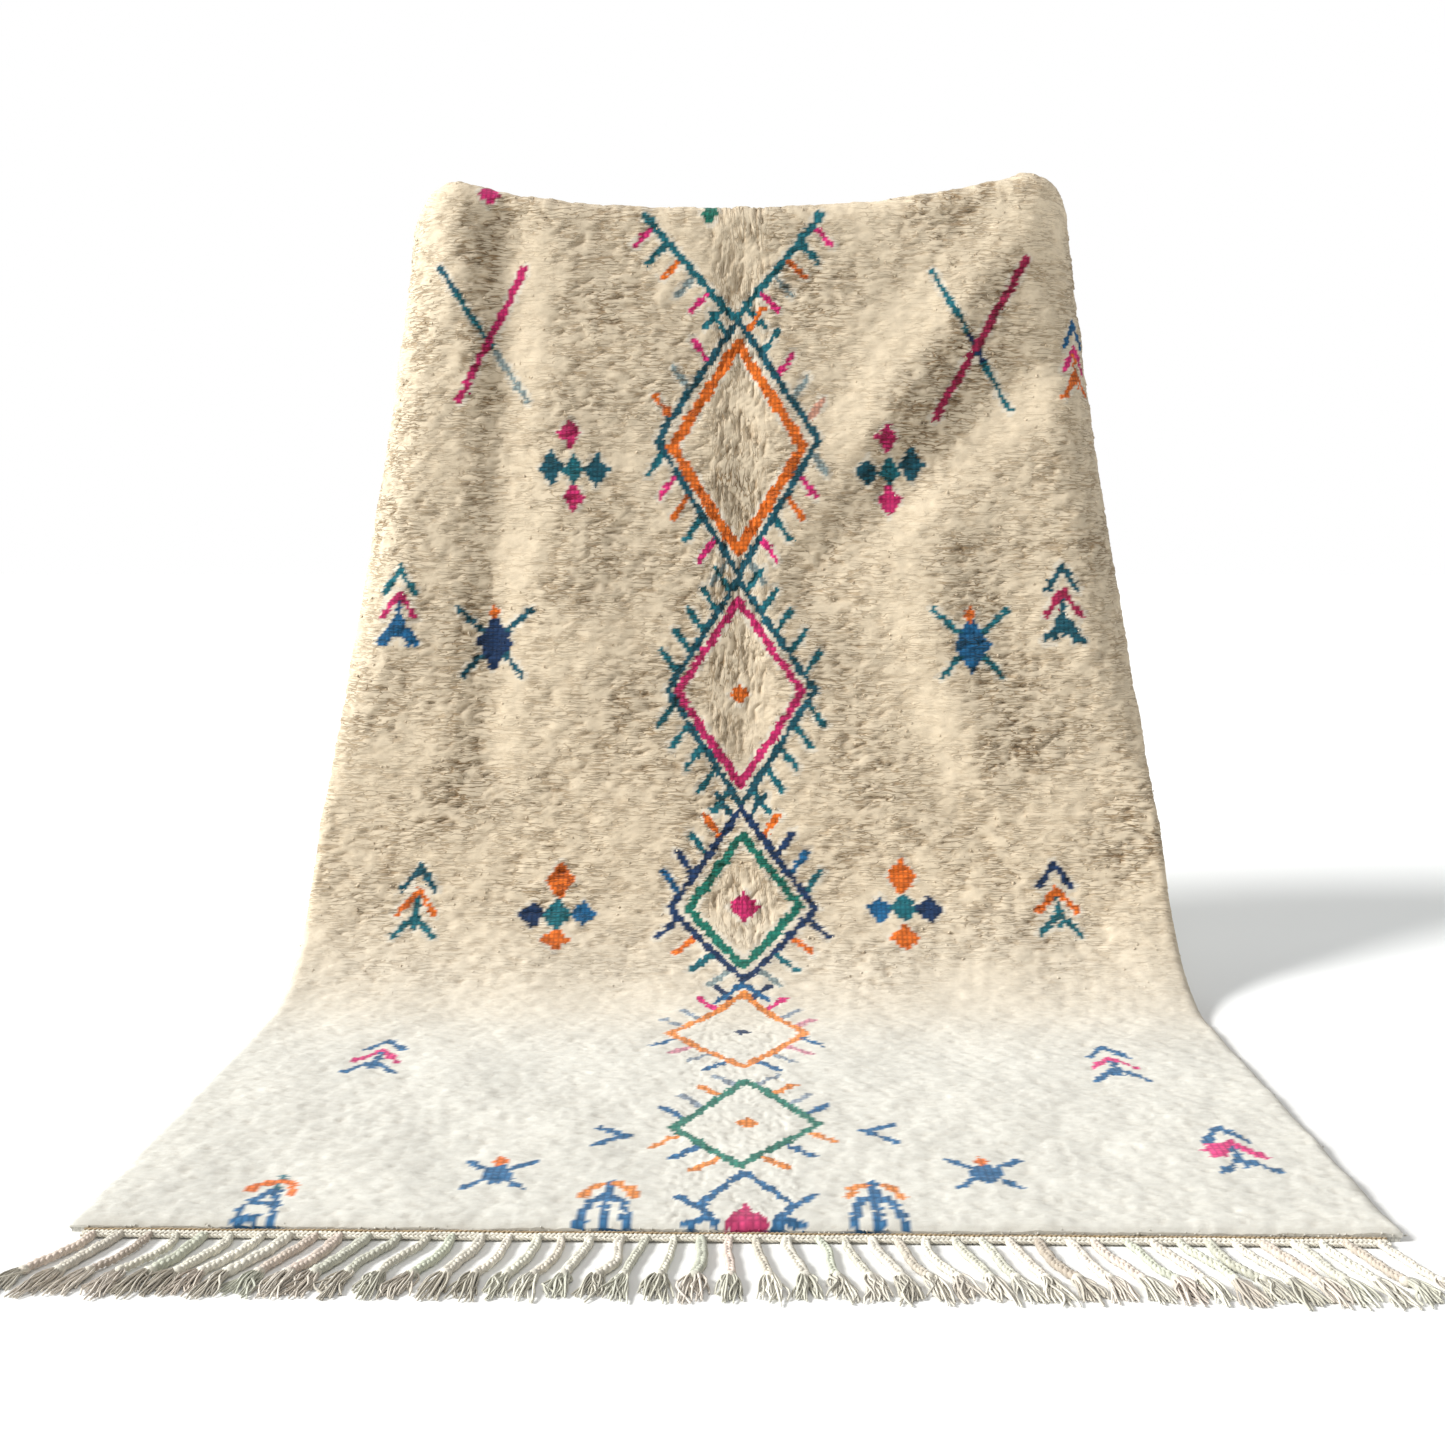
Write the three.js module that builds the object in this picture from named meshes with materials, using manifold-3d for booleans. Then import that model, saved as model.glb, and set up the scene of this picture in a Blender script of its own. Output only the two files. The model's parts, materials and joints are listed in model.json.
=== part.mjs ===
// A hand-knotted wool pile rug, held by its upper part so that it hangs in a curve and runs out
// over the floor, with a woven band and braided tassels at the near hem.
// Millimetres, +Z up, the pile facing -Y. The origin is under the middle of the whole piece.
import * as THREE from 'three';
import Module from 'manifold-3d';

const wasm = await Module();
wasm.setup();

// The cloth, laid flat
const width = 1812;
const flatLength = 3170;
const pile = 22; // knots and ground together
const rimPile = 10; // the pile's height at the very edge
const scallop = 5; // how far the side edges wander with the knots

// The way it hangs
const hemY = -806; // the pile's near edge
const floorRun = 890; // from the hem to where the cloth leaves the floor
const sweep = 300; // the hanging curve's own length, as of a chain
const topMiddle = 1692;
const topRise = 68; // how much higher the top stands near its corners
const topTilt = 10; // and at the right edge, because it isn't held quite level
const cornerX = 650; // where the top is highest
const sagPower = 2.6;
const cornerStart = 662; // across the cloth, where the corner begins to drop
const cornerEnd = 836; // where the drop has turned to the side
const cornerRadius = 75;
const crownRadius = 30; // the fold's inside
const flapLean = 560; // past this the flap lies parallel to the front

// The side edges, turned back behind
const turnRadius = 130;
const turnStart = 330; // height where the turning begins
const turnFull = 1700;
const turnAngle = THREE.MathUtils.degToRad(121);

// Folds of the hanging part: a line from one point to another, how wide, and how far it stands out
const folds = [
  { x1: 700, z1: 1720, x2: 300, z2: 1180, reach: 75, out: 20 },
  { x1: 700, z1: 1340, x2: 170, z2: 860, reach: 80, out: -18 },
  { x1: 430, z1: 960, x2: 520, z2: 420, reach: 85, out: 12 },
  { x1: -640, z1: 1680, x2: -600, z2: 1300, reach: 65, out: 13 },
  { x1: -530, z1: 1650, x2: -555, z2: 450, reach: 60, out: -16 },
  { x1: -400, z1: 1300, x2: -330, z2: 560, reach: 90, out: 9 },
  { x1: 0, z1: 1560, x2: 20, z2: 480, reach: 45, out: -7 },
];

// Lumps of the pile: wave lengths across and along, and the height of each
const lumps = [
  { across: 171, along: 143, shift: 0.4, height: 1.3 },
  { across: 97, along: 211, shift: 2.1, height: 1.1 },
  { across: 133, along: 89, shift: 4.0, height: 1.0 },
];
const roughness = 2.2; // from one knot group to the next

// How many steps the mesh takes
const columns = 36;
const floorRows = 12;
const hangRows = 25;
const crownRows = 6;
const flapRows = 4;

// The fringe
const seam = 0.3; // between the pile's edge and the band
const bandLength = 1766;
const bandDepth = 22;
const bandHeight = 9;
const braids = 47;
const braidLength = 104;
const braidWidth = 11;
const braidHeight = 10;
const braidSteps = 4;
const knotWidth = 16;
const knotHeight = 12.5;
const locks = 3;
const lockLength = 62;
const lockWidth = 4.8;
const lockHeight = 6;
const lockTip = 1.6;
const fan = 11; // how far the outer locks' tips spread from the braid's line
const rootWander = 4;
const sideWander = 12; // the slow sway that neighbouring braids share
const ownWander = 3;
const rootDepth = 6; // how deep a root sits in what holds it
const rootHeight = 7.5; // a braid's height where it leaves the band
const rootLift = 0.5; // a root's underside, which comes down to the floor outside
const splay = 30; // how far braids away from the middle lean out
const splayReach = 200; // how soon that lean is reached
const splayEnd = 16; // and how much more the outermost ones lean

// A seeded source of numbers from 0 to 1
function seeded(seed) {
  let state = seed;
  return () => {
    state = (state * 1664525 + 1013904223) % 4294967296;
    return state / 4294967296;
  };
}

const half = width / 2;

// The back's distance from the hem's end of the hanging curve, at a height
function hangY(z) {
  return hemY + floorRun + sweep * Math.acosh(1 + Math.max(z, 0) / sweep);
}

// Height of the top edge over the flat cloth's point u
function topAt(u) {
  const across = Math.min(Math.abs(u), cornerX) / cornerX;
  const top = topMiddle + topRise * across ** sagPower + topTilt * u / half;
  const past = Math.abs(u) - cornerStart;
  if (past <= 0) return top;
  const turn = cornerEnd - cornerStart;
  const round = Math.min(past / turn, 1) * Math.PI / 2;
  const beyond = Math.max(past - turn, 0) * cornerRadius * Math.PI / 2 / turn;
  return top - cornerRadius * (1 - Math.cos(round)) - beyond;
}

// Where the parts of the length begin at u: the hang, the crown, the flap
function stages(u) {
  let angle = Math.PI / 2;
  let rise = 0;
  for (let pass = 0; pass < 4; pass += 1) {
    const z = topAt(u) - pile - crownRadius * (1 - Math.cos(angle));
    rise = Math.sqrt((z + sweep) ** 2 - sweep ** 2);
    angle = Math.atan(rise / sweep);
  }
  const parallel = THREE.MathUtils.smoothstep(Math.abs(u), 0, flapLean);
  const flapAngle = THREE.MathUtils.lerp(-Math.PI / 2, angle - Math.PI, parallel);
  const crown = floorRun + rise;
  return { rise, angle, flapAngle, crown, flap: crown + crownRadius * (angle - flapAngle) };
}

// The back's point and the pile's direction at a length s from the hem, before the sides turn
function profile(u, s, stage) {
  const start = hemY + floorRun;
  if (s <= floorRun) return { y: hemY + s, z: 0, angle: 0 };
  const rise = Math.min(s - floorRun, stage.rise);
  const y = start + sweep * Math.asinh(rise / sweep);
  const z = Math.sqrt(sweep ** 2 + rise ** 2) - sweep;
  if (s <= stage.crown) return { y, z, angle: Math.atan(rise / sweep) };
  const turned = Math.min((s - stage.crown) / crownRadius, stage.angle - stage.flapAngle);
  const angle = stage.angle - turned;
  const over = {
    y: y + crownRadius * (Math.sin(stage.angle) - Math.sin(angle)),
    z: z - crownRadius * (Math.cos(stage.angle) - Math.cos(angle)),
    angle,
  };
  if (s <= stage.flap) return over;
  const down = s - stage.flap;
  over.y += down * Math.cos(angle);
  over.z += down * Math.sin(angle);
  return over;
}

// How far the folds carry the cloth towards the viewer
function foldOut(x, z) {
  let out = 0;
  for (const fold of folds) {
    const runX = fold.x2 - fold.x1;
    const runZ = fold.z2 - fold.z1;
    const length = Math.hypot(runX, runZ);
    const along = ((x - fold.x1) * runX + (z - fold.z1) * runZ) / length;
    const aside = ((x - fold.x1) * runZ - (z - fold.z1) * runX) / length;
    const past = Math.max(-along, along - length, 0);
    out += fold.out * Math.exp(-((aside ** 2 + past ** 2) / fold.reach ** 2));
  }
  return out;
}

// Turns the sides back, slice by slice, and adds the folds
function drape(x, y, z) {
  const share = Math.max(z - turnStart, 0) / (turnFull - turnStart);
  const turn = turnAngle * Math.sqrt(share);
  const flat = half - turnRadius * turn;
  const place = new THREE.Vector3(x, y, z);
  if (Math.abs(x) > flat) {
    const face = hangY(z) - pile;
    const radius = turnRadius - (y - face);
    const angle = (Math.abs(x) - flat) / turnRadius;
    place.x = Math.sign(x) * (flat + radius * Math.sin(angle));
    place.y = face + turnRadius - radius * Math.cos(angle);
  }
  place.y -= foldOut(place.x, z);
  return place;
}

// The pile's lumps at a point of the flat cloth
function lumpAt(u, s) {
  let sum = 0;
  for (const lump of lumps) {
    const wave = Math.sin(2 * Math.PI * u / lump.across + lump.shift);
    sum += lump.height * wave * Math.sin(2 * Math.PI * s / lump.along + 2 * lump.shift);
  }
  return sum;
}

// Lengths from the hem of all rows in the column at u
function rowsAt(stage) {
  const rows = [];
  const step = (from, to, count) => {
    for (let k = 0; k < count; k += 1) rows.push(from + (to - from) * k / count);
  };
  step(0, floorRun, floorRows);
  step(floorRun, stage.crown, hangRows);
  step(stage.crown, stage.flap, crownRows);
  step(stage.flap, flatLength, flapRows);
  rows.push(flatLength);
  return rows;
}

// The whole rug as one closed sheet: pile side, back, and a rim between them
function rugBody() {
  const random = seeded(7);
  const rowCount = floorRows + hangRows + crownRows + flapRows + 1;
  const points = [];
  for (let i = 0; i <= columns; i += 1) {
    const inner = half * (2 * i / columns - 1);
    const stage = stages(inner);
    const rows = rowsAt(stage);
    for (let j = 0; j < rowCount; j += 1) {
      const s = rows[j];
      const sideRim = i === 0 || i === columns;
      const rim = sideRim || j === 0 || j === rowCount - 1;
      const wander = sideRim ? scallop * (random() - 1) : 0;
      const x = inner + Math.sign(inner) * wander;
      const back = profile(inner, s, stage);
      const rough = roughness * (random() - 0.5);
      const height = rim ? rimPile + rough : pile + lumpAt(inner, s) + rough;
      const straightHem = j === 0 ? 0 : 1;
      const faceY = back.y - height * Math.sin(back.angle) * straightHem;
      const faceZ = back.z + height * Math.cos(back.angle);
      points.push({ face: drape(x, faceY, faceZ), back: drape(x, back.y, back.z) });
    }
  }
  const positions = [];
  for (const side of ['face', 'back']) {
    for (const point of points) positions.push(point[side].x, point[side].y, point[side].z);
  }
  const faces = [];
  const at = (i, j, side) => side * points.length + i * rowCount + j;
  const quad = (a, b, c, d) => faces.push(a, b, c, a, c, d);
  for (let i = 0; i < columns; i += 1) {
    for (let j = 0; j < rowCount - 1; j += 1) {
      quad(at(i, j, 0), at(i + 1, j, 0), at(i + 1, j + 1, 0), at(i, j + 1, 0));
      quad(at(i, j, 1), at(i, j + 1, 1), at(i + 1, j + 1, 1), at(i + 1, j, 1));
    }
    const last = rowCount - 1;
    quad(at(i, 0, 1), at(i + 1, 0, 1), at(i + 1, 0, 0), at(i, 0, 0));
    quad(at(i, last, 0), at(i + 1, last, 0), at(i + 1, last, 1), at(i, last, 1));
  }
  for (let j = 0; j < rowCount - 1; j += 1) {
    quad(at(0, j, 0), at(0, j + 1, 0), at(0, j + 1, 1), at(0, j, 1));
    quad(at(columns, j, 0), at(columns, j, 1), at(columns, j + 1, 1), at(columns, j + 1, 0));
  }
  return geometryFrom(positions, faces);
}

function geometryFrom(positions, faces) {
  const geometry = new THREE.BufferGeometry();
  geometry.setAttribute('position', new THREE.Float32BufferAttribute(positions, 3));
  geometry.setIndex(faces);
  geometry.computeVertexNormals();
  return geometry;
}

// A closed body through sections of equal count, each running round the same way
function loft(sections) {
  const count = sections[0].length;
  const positions = sections.flat().flatMap((point) => [point.x, point.y, point.z]);
  const faces = [];
  for (let k = 0; k < sections.length - 1; k += 1) {
    for (let p = 0; p < count; p += 1) {
      const a = k * count + p;
      const b = k * count + (p + 1) % count;
      faces.push(a, b, b + count, a, b + count, a + count);
    }
  }
  const end = (sections.length - 1) * count;
  for (let p = 1; p < count - 1; p += 1) {
    faces.push(0, p + 1, p);
    faces.push(end, end + p, end + p + 1);
  }
  const mesh = new wasm.Mesh({
    numProp: 3,
    vertProperties: new Float32Array(positions),
    triVerts: new Uint32Array(faces),
  });
  return new wasm.Manifold(mesh);
}

// A section of a strand that runs towards -Y and lies with its flat underside on the floor
function fourSided(x, y, wide, high, low = 0) {
  const top = 0.34 * wide;
  return [
    new THREE.Vector3(x - wide / 2, y, low),
    new THREE.Vector3(x + wide / 2, y, low),
    new THREE.Vector3(x + top, y, high),
    new THREE.Vector3(x - top, y, high),
  ];
}

function threeSided(x, y, wide, high, low = 0) {
  return [
    new THREE.Vector3(x - wide / 2, y, low),
    new THREE.Vector3(x + wide / 2, y, low),
    new THREE.Vector3(x, y, high),
  ];
}

// The flat woven band along the hem
function band() {
  const near = hemY - seam - bandDepth;
  const far = hemY - seam;
  const section = (x) => [
    new THREE.Vector3(x, far, 0),
    new THREE.Vector3(x, near, 0),
    new THREE.Vector3(x, near, bandHeight),
    new THREE.Vector3(x, far, bandHeight),
  ];
  return loft([section(bandLength / 2), section(-bandLength / 2)]);
}

// One braid with the knot at its end, lying from root to tip along the floor
function braid(rootX, tipX) {
  const rootY = hemY - seam - bandDepth + rootDepth;
  const sections = [];
  for (let k = 0; k < braidSteps; k += 1) {
    const share = k / braidSteps;
    const swell = k % 2 ? 1.1 : 0.92;
    const x = THREE.MathUtils.lerp(rootX, tipX, share ** 1.3);
    const high = k ? braidHeight * swell : rootHeight;
    const low = k ? 0 : rootLift;
    sections.push(fourSided(x, rootY - braidLength * share, braidWidth * swell, high, low));
  }
  sections.push(fourSided(tipX, rootY - braidLength, knotWidth, knotHeight));
  sections.push(fourSided(tipX, rootY - braidLength - rootDepth, knotWidth, lockHeight + 2));
  return loft(sections);
}

// The loose locks past the knot, fanned a little and tapering on the floor
function tassel(tipX, lean, random) {
  const rootY = hemY - seam - bandDepth - braidLength + rootDepth / 2;
  const parts = [];
  for (let k = 0; k < locks; k += 1) {
    const side = 2 * k / (locks - 1) - 1;
    const x = tipX + side * (knotWidth / 2 - 0.55 * lockWidth);
    const endX = tipX + side * fan + 0.4 * lean + ownWander * (random() - 0.5);
    const length = lockLength * (0.85 + 0.3 * random());
    parts.push(loft([
      threeSided(x, rootY, lockWidth, lockHeight, rootLift),
      threeSided(endX, rootY - length, lockTip, lockTip),
    ]));
  }
  return parts;
}

function fringe() {
  const random = seeded(19);
  const pitch = bandLength / braids;
  let whole = band();
  for (let i = 0; i < braids; i += 1) {
    const middle = (i + 0.5) * pitch - bandLength / 2;
    const rootX = middle + rootWander * (2 * random() - 1);
    const sway = sideWander * Math.sin(i / 5.3) * Math.cos(i / 2.9);
    const outward = (2 * middle / bandLength) ** 3;
    const lean = splay * Math.tanh(middle / splayReach) + splayEnd * outward;
    const tipX = middle + sway + lean + ownWander * (2 * random() - 1);
    const parts = [braid(rootX, tipX), ...tassel(tipX, lean, random)];
    for (const part of parts) whole = whole.add(part);
  }
  const mesh = whole.getMesh();
  return geometryFrom(Array.from(mesh.vertProperties), Array.from(mesh.triVerts));
}

function pileWool() {
  return new THREE.MeshStandardMaterial({ color: '#ddd2bf', roughness: 0.95, metalness: 0 });
}

function fringeWool() {
  return new THREE.MeshStandardMaterial({ color: '#c9c2b0', roughness: 0.95, metalness: 0 });
}

function named(name, geometry, material) {
  const mesh = new THREE.Mesh(geometry, material);
  mesh.name = name;
  return mesh;
}

const rug = new THREE.Group();
rug.add(named('rug_body', rugBody(), pileWool()));
rug.add(named('fringe', fringe(), fringeWool()));

export default rug;
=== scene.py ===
"""Looks of a hand-knotted wool pile rug: its weave, knots, motifs and braided fringe."""

import json

import bpy
import numpy as np
from mathutils import Euler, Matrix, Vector

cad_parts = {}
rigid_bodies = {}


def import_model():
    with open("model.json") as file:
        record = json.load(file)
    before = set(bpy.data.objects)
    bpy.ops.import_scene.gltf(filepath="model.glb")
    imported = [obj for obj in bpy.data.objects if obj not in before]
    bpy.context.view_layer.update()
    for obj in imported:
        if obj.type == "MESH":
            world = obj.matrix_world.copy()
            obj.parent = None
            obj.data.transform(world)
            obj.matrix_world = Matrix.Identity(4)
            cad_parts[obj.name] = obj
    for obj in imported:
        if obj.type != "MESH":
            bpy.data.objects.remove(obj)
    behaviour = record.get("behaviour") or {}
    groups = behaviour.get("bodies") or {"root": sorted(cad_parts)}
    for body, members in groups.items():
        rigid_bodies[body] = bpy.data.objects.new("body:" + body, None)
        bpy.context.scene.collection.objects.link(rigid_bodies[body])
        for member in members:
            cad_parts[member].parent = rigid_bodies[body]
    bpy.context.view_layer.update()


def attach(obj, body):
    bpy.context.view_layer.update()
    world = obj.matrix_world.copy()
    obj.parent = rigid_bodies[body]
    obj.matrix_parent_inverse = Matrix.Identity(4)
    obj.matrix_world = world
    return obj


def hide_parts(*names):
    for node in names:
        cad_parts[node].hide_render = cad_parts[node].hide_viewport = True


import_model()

bl_info = {
    "name": "Knotted Wool Rug",
    "version": (1, 0, 0),
    "blender": (4, 5, 0),
    "location": "View3D > Sidebar > Rug",
    "description": "Builds the weave, pile, motifs and fringe of a draped wool rug",
    "category": "Add Mesh",
}

# The rug's size and drape, in metres, as in the solid
WIDTH = 1.812
FLAT_LENGTH = 3.170
HALF = WIDTH / 2
PILE = 0.022
HEM_Y = -0.806
FLOOR_RUN = 0.890
SWEEP = 0.300
TOP_MIDDLE, TOP_RISE, TOP_TILT = 1.692, 0.068, 0.010
CORNER_X, SAG_POWER = 0.650, 2.6
CORNER_START, CORNER_END, CORNER_RADIUS = 0.662, 0.836, 0.075
CROWN_RADIUS, FLAP_LEAN = 0.030, 0.560
TURN_RADIUS, TURN_START, TURN_FULL = 0.130, 0.330, 1.700
TURN_ANGLE = np.radians(121)
# Soft folds of the hanging part: from x, z to x, z, how far they reach aside and stand out
FOLDS = (
    (0.700, 1.720, 0.300, 1.180, 0.075, 0.020),
    (0.700, 1.340, 0.170, 0.860, 0.080, -0.018),
    (0.430, 0.960, 0.520, 0.420, 0.085, 0.012),
    (-0.640, 1.680, -0.600, 1.300, 0.065, 0.013),
    (-0.530, 1.650, -0.555, 0.450, 0.060, -0.016),
    (-0.400, 1.300, -0.330, 0.560, 0.090, 0.009),
    (0.0, 1.560, 0.020, 0.480, 0.045, -0.007),
)

# The wool
GROUND_DEPTH = 0.008
PILE_FOOT = 0.007
COARSE = 4  # how many fine steps make one step of a slab's hidden side
SAG_SHARE = 0.45
SPINE = 0.095  # how far the upright creases reach from the middle
BANDS = (("pile_floor", 0.0, 0.885), ("pile_sweep", 0.885, 1.66),
         ("pile_hanging", 1.66, 2.43), ("pile_fold", 2.43, FLAT_LENGTH))
CREASE_WIDTH, CREASE_DEPTH = 0.0024, 0.0042
VALLEY_WIDTH, VALLEY_DEPTH = 0.0075, 0.0030
RIM_DROP, RIM_REACH = 0.011, 0.016
# Creases painted as shade in the wool's shader: lines across and along in a metre, whether upright,
# line width
CREASE_LAYERS = ((8, 56, 0, 0.030), (19, 98, 0, 0.040), (50, 9, 1, 0.034), (95, 22, 1, 0.036))
GAP_PITCHES = 0.010, 0.0106
BROWN_SHADE = (0.46, 0.36, 0.25, 1.0)
COOL_SHADE = (0.45, 0.48, 0.52, 1.0)

# Loose tufts, and those round the rim, in metres
RIM_INSETS = 0.005, 0.009
RIM_START, RIM_WANDER = 0.004, 0.002
TUFT_SPREAD = 0.0045
RIM_ROOT, LOOSE_ROOT = 0.013, 0.006  # how far below the wool's surface a tuft begins
RIM_GIRTH, LOOSE_GIRTH = 0.42, 0.8
LOWEST_TIP, LOWEST_ROOT = 0.004, 0.005  # clear of the floor

# The fringe, in metres, as in the solid
SEAM = 0.0003
BAND_LENGTH, BAND_DEPTH, BAND_HEIGHT = 1.766, 0.022, 0.009
BRAIDS, BRAID_LENGTH = 47, 0.104
LOCK_LENGTH, FAN = 0.062, 0.011
ROOT_WANDER, SIDE_WANDER, OWN_WANDER = 0.004, 0.012, 0.003
ROOT_DEPTH = 0.006
SPLAY, SPLAY_REACH, SPLAY_END = 0.030, 0.200, 0.016
LOCKS = 3

# The plait and its knot, in metres
PLAIT_STEPS = 48
PLAIT_HEIGHT, PLAIT_ASIDE, PLAIT_LIFT = 0.0062, 0.0039, 0.0021
BOW, SECOND_BOW = 0.0042, 0.0022
KNOT_SIZE = 0.0082, 0.0080, 0.0062
KNOT_GAP, FLOOR_GAP = 0.002, 0.0002
TASSEL_STEPS, TASSEL_SPREAD = 7, 0.007

# The stage, in metres and degrees. The camera is the one fitted to the photo
FLOOR_REACH = 30.0
CAMERA_PLACE, CAMERA_TURN = (0.023, -2.811, 0.954), (82.92, 0.0, 0.99)
SENSOR_WIDTH = 36
# Suns: name, where the light comes from, how wide it is, its tone
SUNS = (
    ("key", (-1.0, -0.23, 0.67), 16, (1.0, 1.0, 1.0)),
    ("edge", (-1.0, 0.22, 0.22), 30, (0.86, 0.96, 1.0)),
    ("top", (0.10, -0.25, 1.0), 50, (1.0, 1.0, 1.0)),
)

# The motifs, in millimetres on the flat cloth: across from the middle, along from the hem.
# Their corners and ends were read off the photo, and a fitted camera turned them into these places.
# Each lozenge of the chain: yarn, line width, top, left, right, bottom
CHAIN = (
    ("deep_teal", 13, (-4, 2588), (-186, 2310), (178, 2310), (-2, 1998)),
    ("orange", 22, (-4, 2530), (-152, 2294), (144, 2294), (-2, 2052)),
    ("deep_teal", 13, (-2, 1986), (-156, 1734), (168, 1734), (6, 1472)),
    ("magenta", 15, (-2, 1940), (-134, 1730), (140, 1730), (4, 1518)),
    ("navy", 13, (6, 1464), (-142, 1230), (162, 1232), (16, 1042)),
    ("green", 17, (8, 1402), (-104, 1230), (130, 1240), (12, 1082)),
    ("amber", 15, (12, 1002), (-124, 794), (130, 798), (14, 612)),
    ("green", 15, (20, 546), (-96, 330), (134, 352), (10, 190)),
)
# Whiskers along one side each: from, to, how far they point out and along, yarns in order
WHISKERS = (
    ((-216, 2824), (-10, 2588), (-34, -36), "pink teal orange pale_teal pink teal"),
    ((182, 2824), (-10, 2588), (34, -36), "pink teal orange pale_teal pink teal"),
    ((-4, 2588), (-186, 2310), (-29, 42), "teal pink pale_teal orange"),
    ((-4, 2588), (178, 2310), (29, 42), "orange teal pink pale_teal pale_orange"),
    ((-186, 2310), (-2, 1998), (-28, -42), "teal pink orange teal pink pale_teal"),
    ((178, 2310), (-2, 1998), (28, -42), "pale_teal pink orange teal pink pale_teal"),
    ((-2, 1986), (-156, 1734), (-28, 43), "teal teal teal teal teal"),
    ((-2, 1986), (168, 1734), (29, 42), "teal teal teal teal teal"),
    ((-156, 1734), (6, 1472), (-29, -42), "teal teal teal teal teal"),
    ((168, 1734), (6, 1472), (29, -42), "teal teal teal teal teal"),
    ((6, 1464), (-142, 1230), (-28, 43), "deep_teal orange teal navy blue"),
    ((6, 1464), (162, 1232), (28, 43), "deep_teal orange navy blue teal"),
    ((-142, 1230), (16, 1042), (-34, -36), "navy orange teal pale_teal"),
    ((162, 1232), (16, 1042), (34, -36), "navy orange teal pale_teal"),
    ((12, 1002), (-124, 794), (-30, 40), "navy pink pale_blue pale_blue"),
    ((12, 1002), (130, 798), (30, 40), "navy pink pale_blue pale_pink"),
    ((-124, 794), (14, 612), (-34, -36), "blue pale_pink pale_blue blue"),
    ((130, 798), (14, 612), (34, -36), "blue pale_pink pale_blue blue"),
    ((20, 546), (-96, 330), (-30, 40), "pale_blue amber pale_blue blue"),
    ((20, 546), (134, 352), (30, 40), "pale_blue amber pale_blue blue"),
    ((-96, 330), (10, 190), (-34, -36), "amber blue amber"),
    ((134, 352), (10, 190), (34, -36), "amber blue amber"),
)
# Single lines: yarn, width, points
LINES = (
    ("teal", 14, (-216, 2824), (-10, 2588), (182, 2824)),
    ("pale_teal", 11, (-612, 2598), (-480, 2398)),
    ("deep_teal", 11, (-684, 2708), (-640, 2642)),
    ("teal", 11, (-640, 2642), (-562, 2522)),
    ("magenta", 14, (-492, 2706), (-634, 2402)),
    ("teal", 11, (436, 2696), (612, 2380)),
    ("navy", 11, (520, 2546), (550, 2492)),
    ("crimson", 16, (648, 2722), (442, 2360)),
    ("blue", 11, (12, 1034), (-40, 966)),
    ("blue", 11, (12, 1034), (64, 968)),
    ("blue", 12, (-166, 300), (-212, 330)),
    ("blue", 12, (-166, 300), (-214, 262)),
    ("blue", 12, (204, 322), (250, 352)),
    ("blue", 12, (204, 322), (252, 284)),
    ("blue", 12, (18, 166), (-46, 54), (-20, 0)),
    ("blue", 12, (18, 166), (88, 54), (62, 0)),
    ("blue", 12, (-40, 40), (-78, 84)),
    ("blue", 12, (78, 40), (114, 84)),
    ("blue", 11, (-30, 14), (-58, 6)),
    ("blue", 11, (70, 14), (98, 6)),
    ("teal", 12, (-652, 140), (-652, 84)),
    ("orange", 12, (-660, 122), (-682, 106), (-686, 88)),
    ("orange", 12, (-644, 122), (-626, 108), (-624, 78)),
    ("blue", 12, (-654, 94), (-682, 30), (-672, 4)),
    ("blue", 12, (-652, 94), (-634, 50), (-628, 4)),
    ("blue", 14, (-676, 8), (-652, 8)),
    ("blue", 9, (-664, 50), (-638, 46)),
)
# Filled lozenges: yarn, middle, half width, half height
DIAMONDS = (
    ("green", (-68, 2828), 18, 22),
    ("orange", (2, 1724), 17, 22),
    ("magenta", (14, 1234), 30, 34),
    ("navy", (10, 802), 13, 15),
    ("amber", (22, 358), 17, 20),
    ("magenta", (20, 4), 26, 50),
    ("magenta", (-384, 2326), 23, 31),
    ("magenta", (-372, 2176), 22, 31),
    ("deep_teal", (-424, 2244), 25, 36),
    ("teal", (-374, 2242), 22, 34),
    ("deep_teal", (-322, 2240), 26, 36),
    ("magenta", (332, 2314), 22, 31),
    ("magenta", (338, 2172), 26, 34),
    ("deep_teal", (288, 2236), 25, 30),
    ("teal", (338, 2236), 23, 31),
    ("deep_teal", (388, 2252), 27, 36),
    ("orange", (-376, 1296), 26, 42),
    ("orange", (-378, 1152), 26, 28),
    ("navy", (-430, 1214), 27, 28),
    ("teal", (-378, 1214), 29, 33),
    ("blue", (-324, 1216), 25, 28),
    ("orange", (346, 1308), 28, 42),
    ("orange", (346, 1160), 28, 30),
    ("blue", (298, 1230), 25, 29),
    ("teal", (348, 1234), 27, 31),
    ("navy", (400, 1230), 28, 28),
    ("pink", (-572, 2874), 24, 20),
    ("pink", (734, 262), 24, 26),
)
# Lozenges with four legs: body's yarn, legs' yarn, middle, size
BEETLES = (
    ("navy", "deep_teal", (-546, 1842), 1.0),
    ("blue", "teal", (514, 1840), 1.0),
    ("blue", "blue", (-343, 152), 0.62),
    ("blue", "blue", (370, 166), 0.66),
)
# Three arrows in a column: their yarns from the top, middle, whether the foot is filled
TREES = (
    ("teal", "magenta", "blue", (-762, 1928), True),
    ("deep_teal", "crimson", "deep_teal", (720, 1934), True),
    ("deep_teal", "orange", "teal", (-674, 1242), False),
    ("navy", "orange", "teal", (668, 1254), False),
    ("blue", "pink", "blue", (-636, 662), False),
    ("blue", "pink", "blue", (664, 646), False),
    ("blue", "pink", "blue", (760, 262), False),
    ("blue", "pink", "orange", (780, 2498), False),
)
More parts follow.
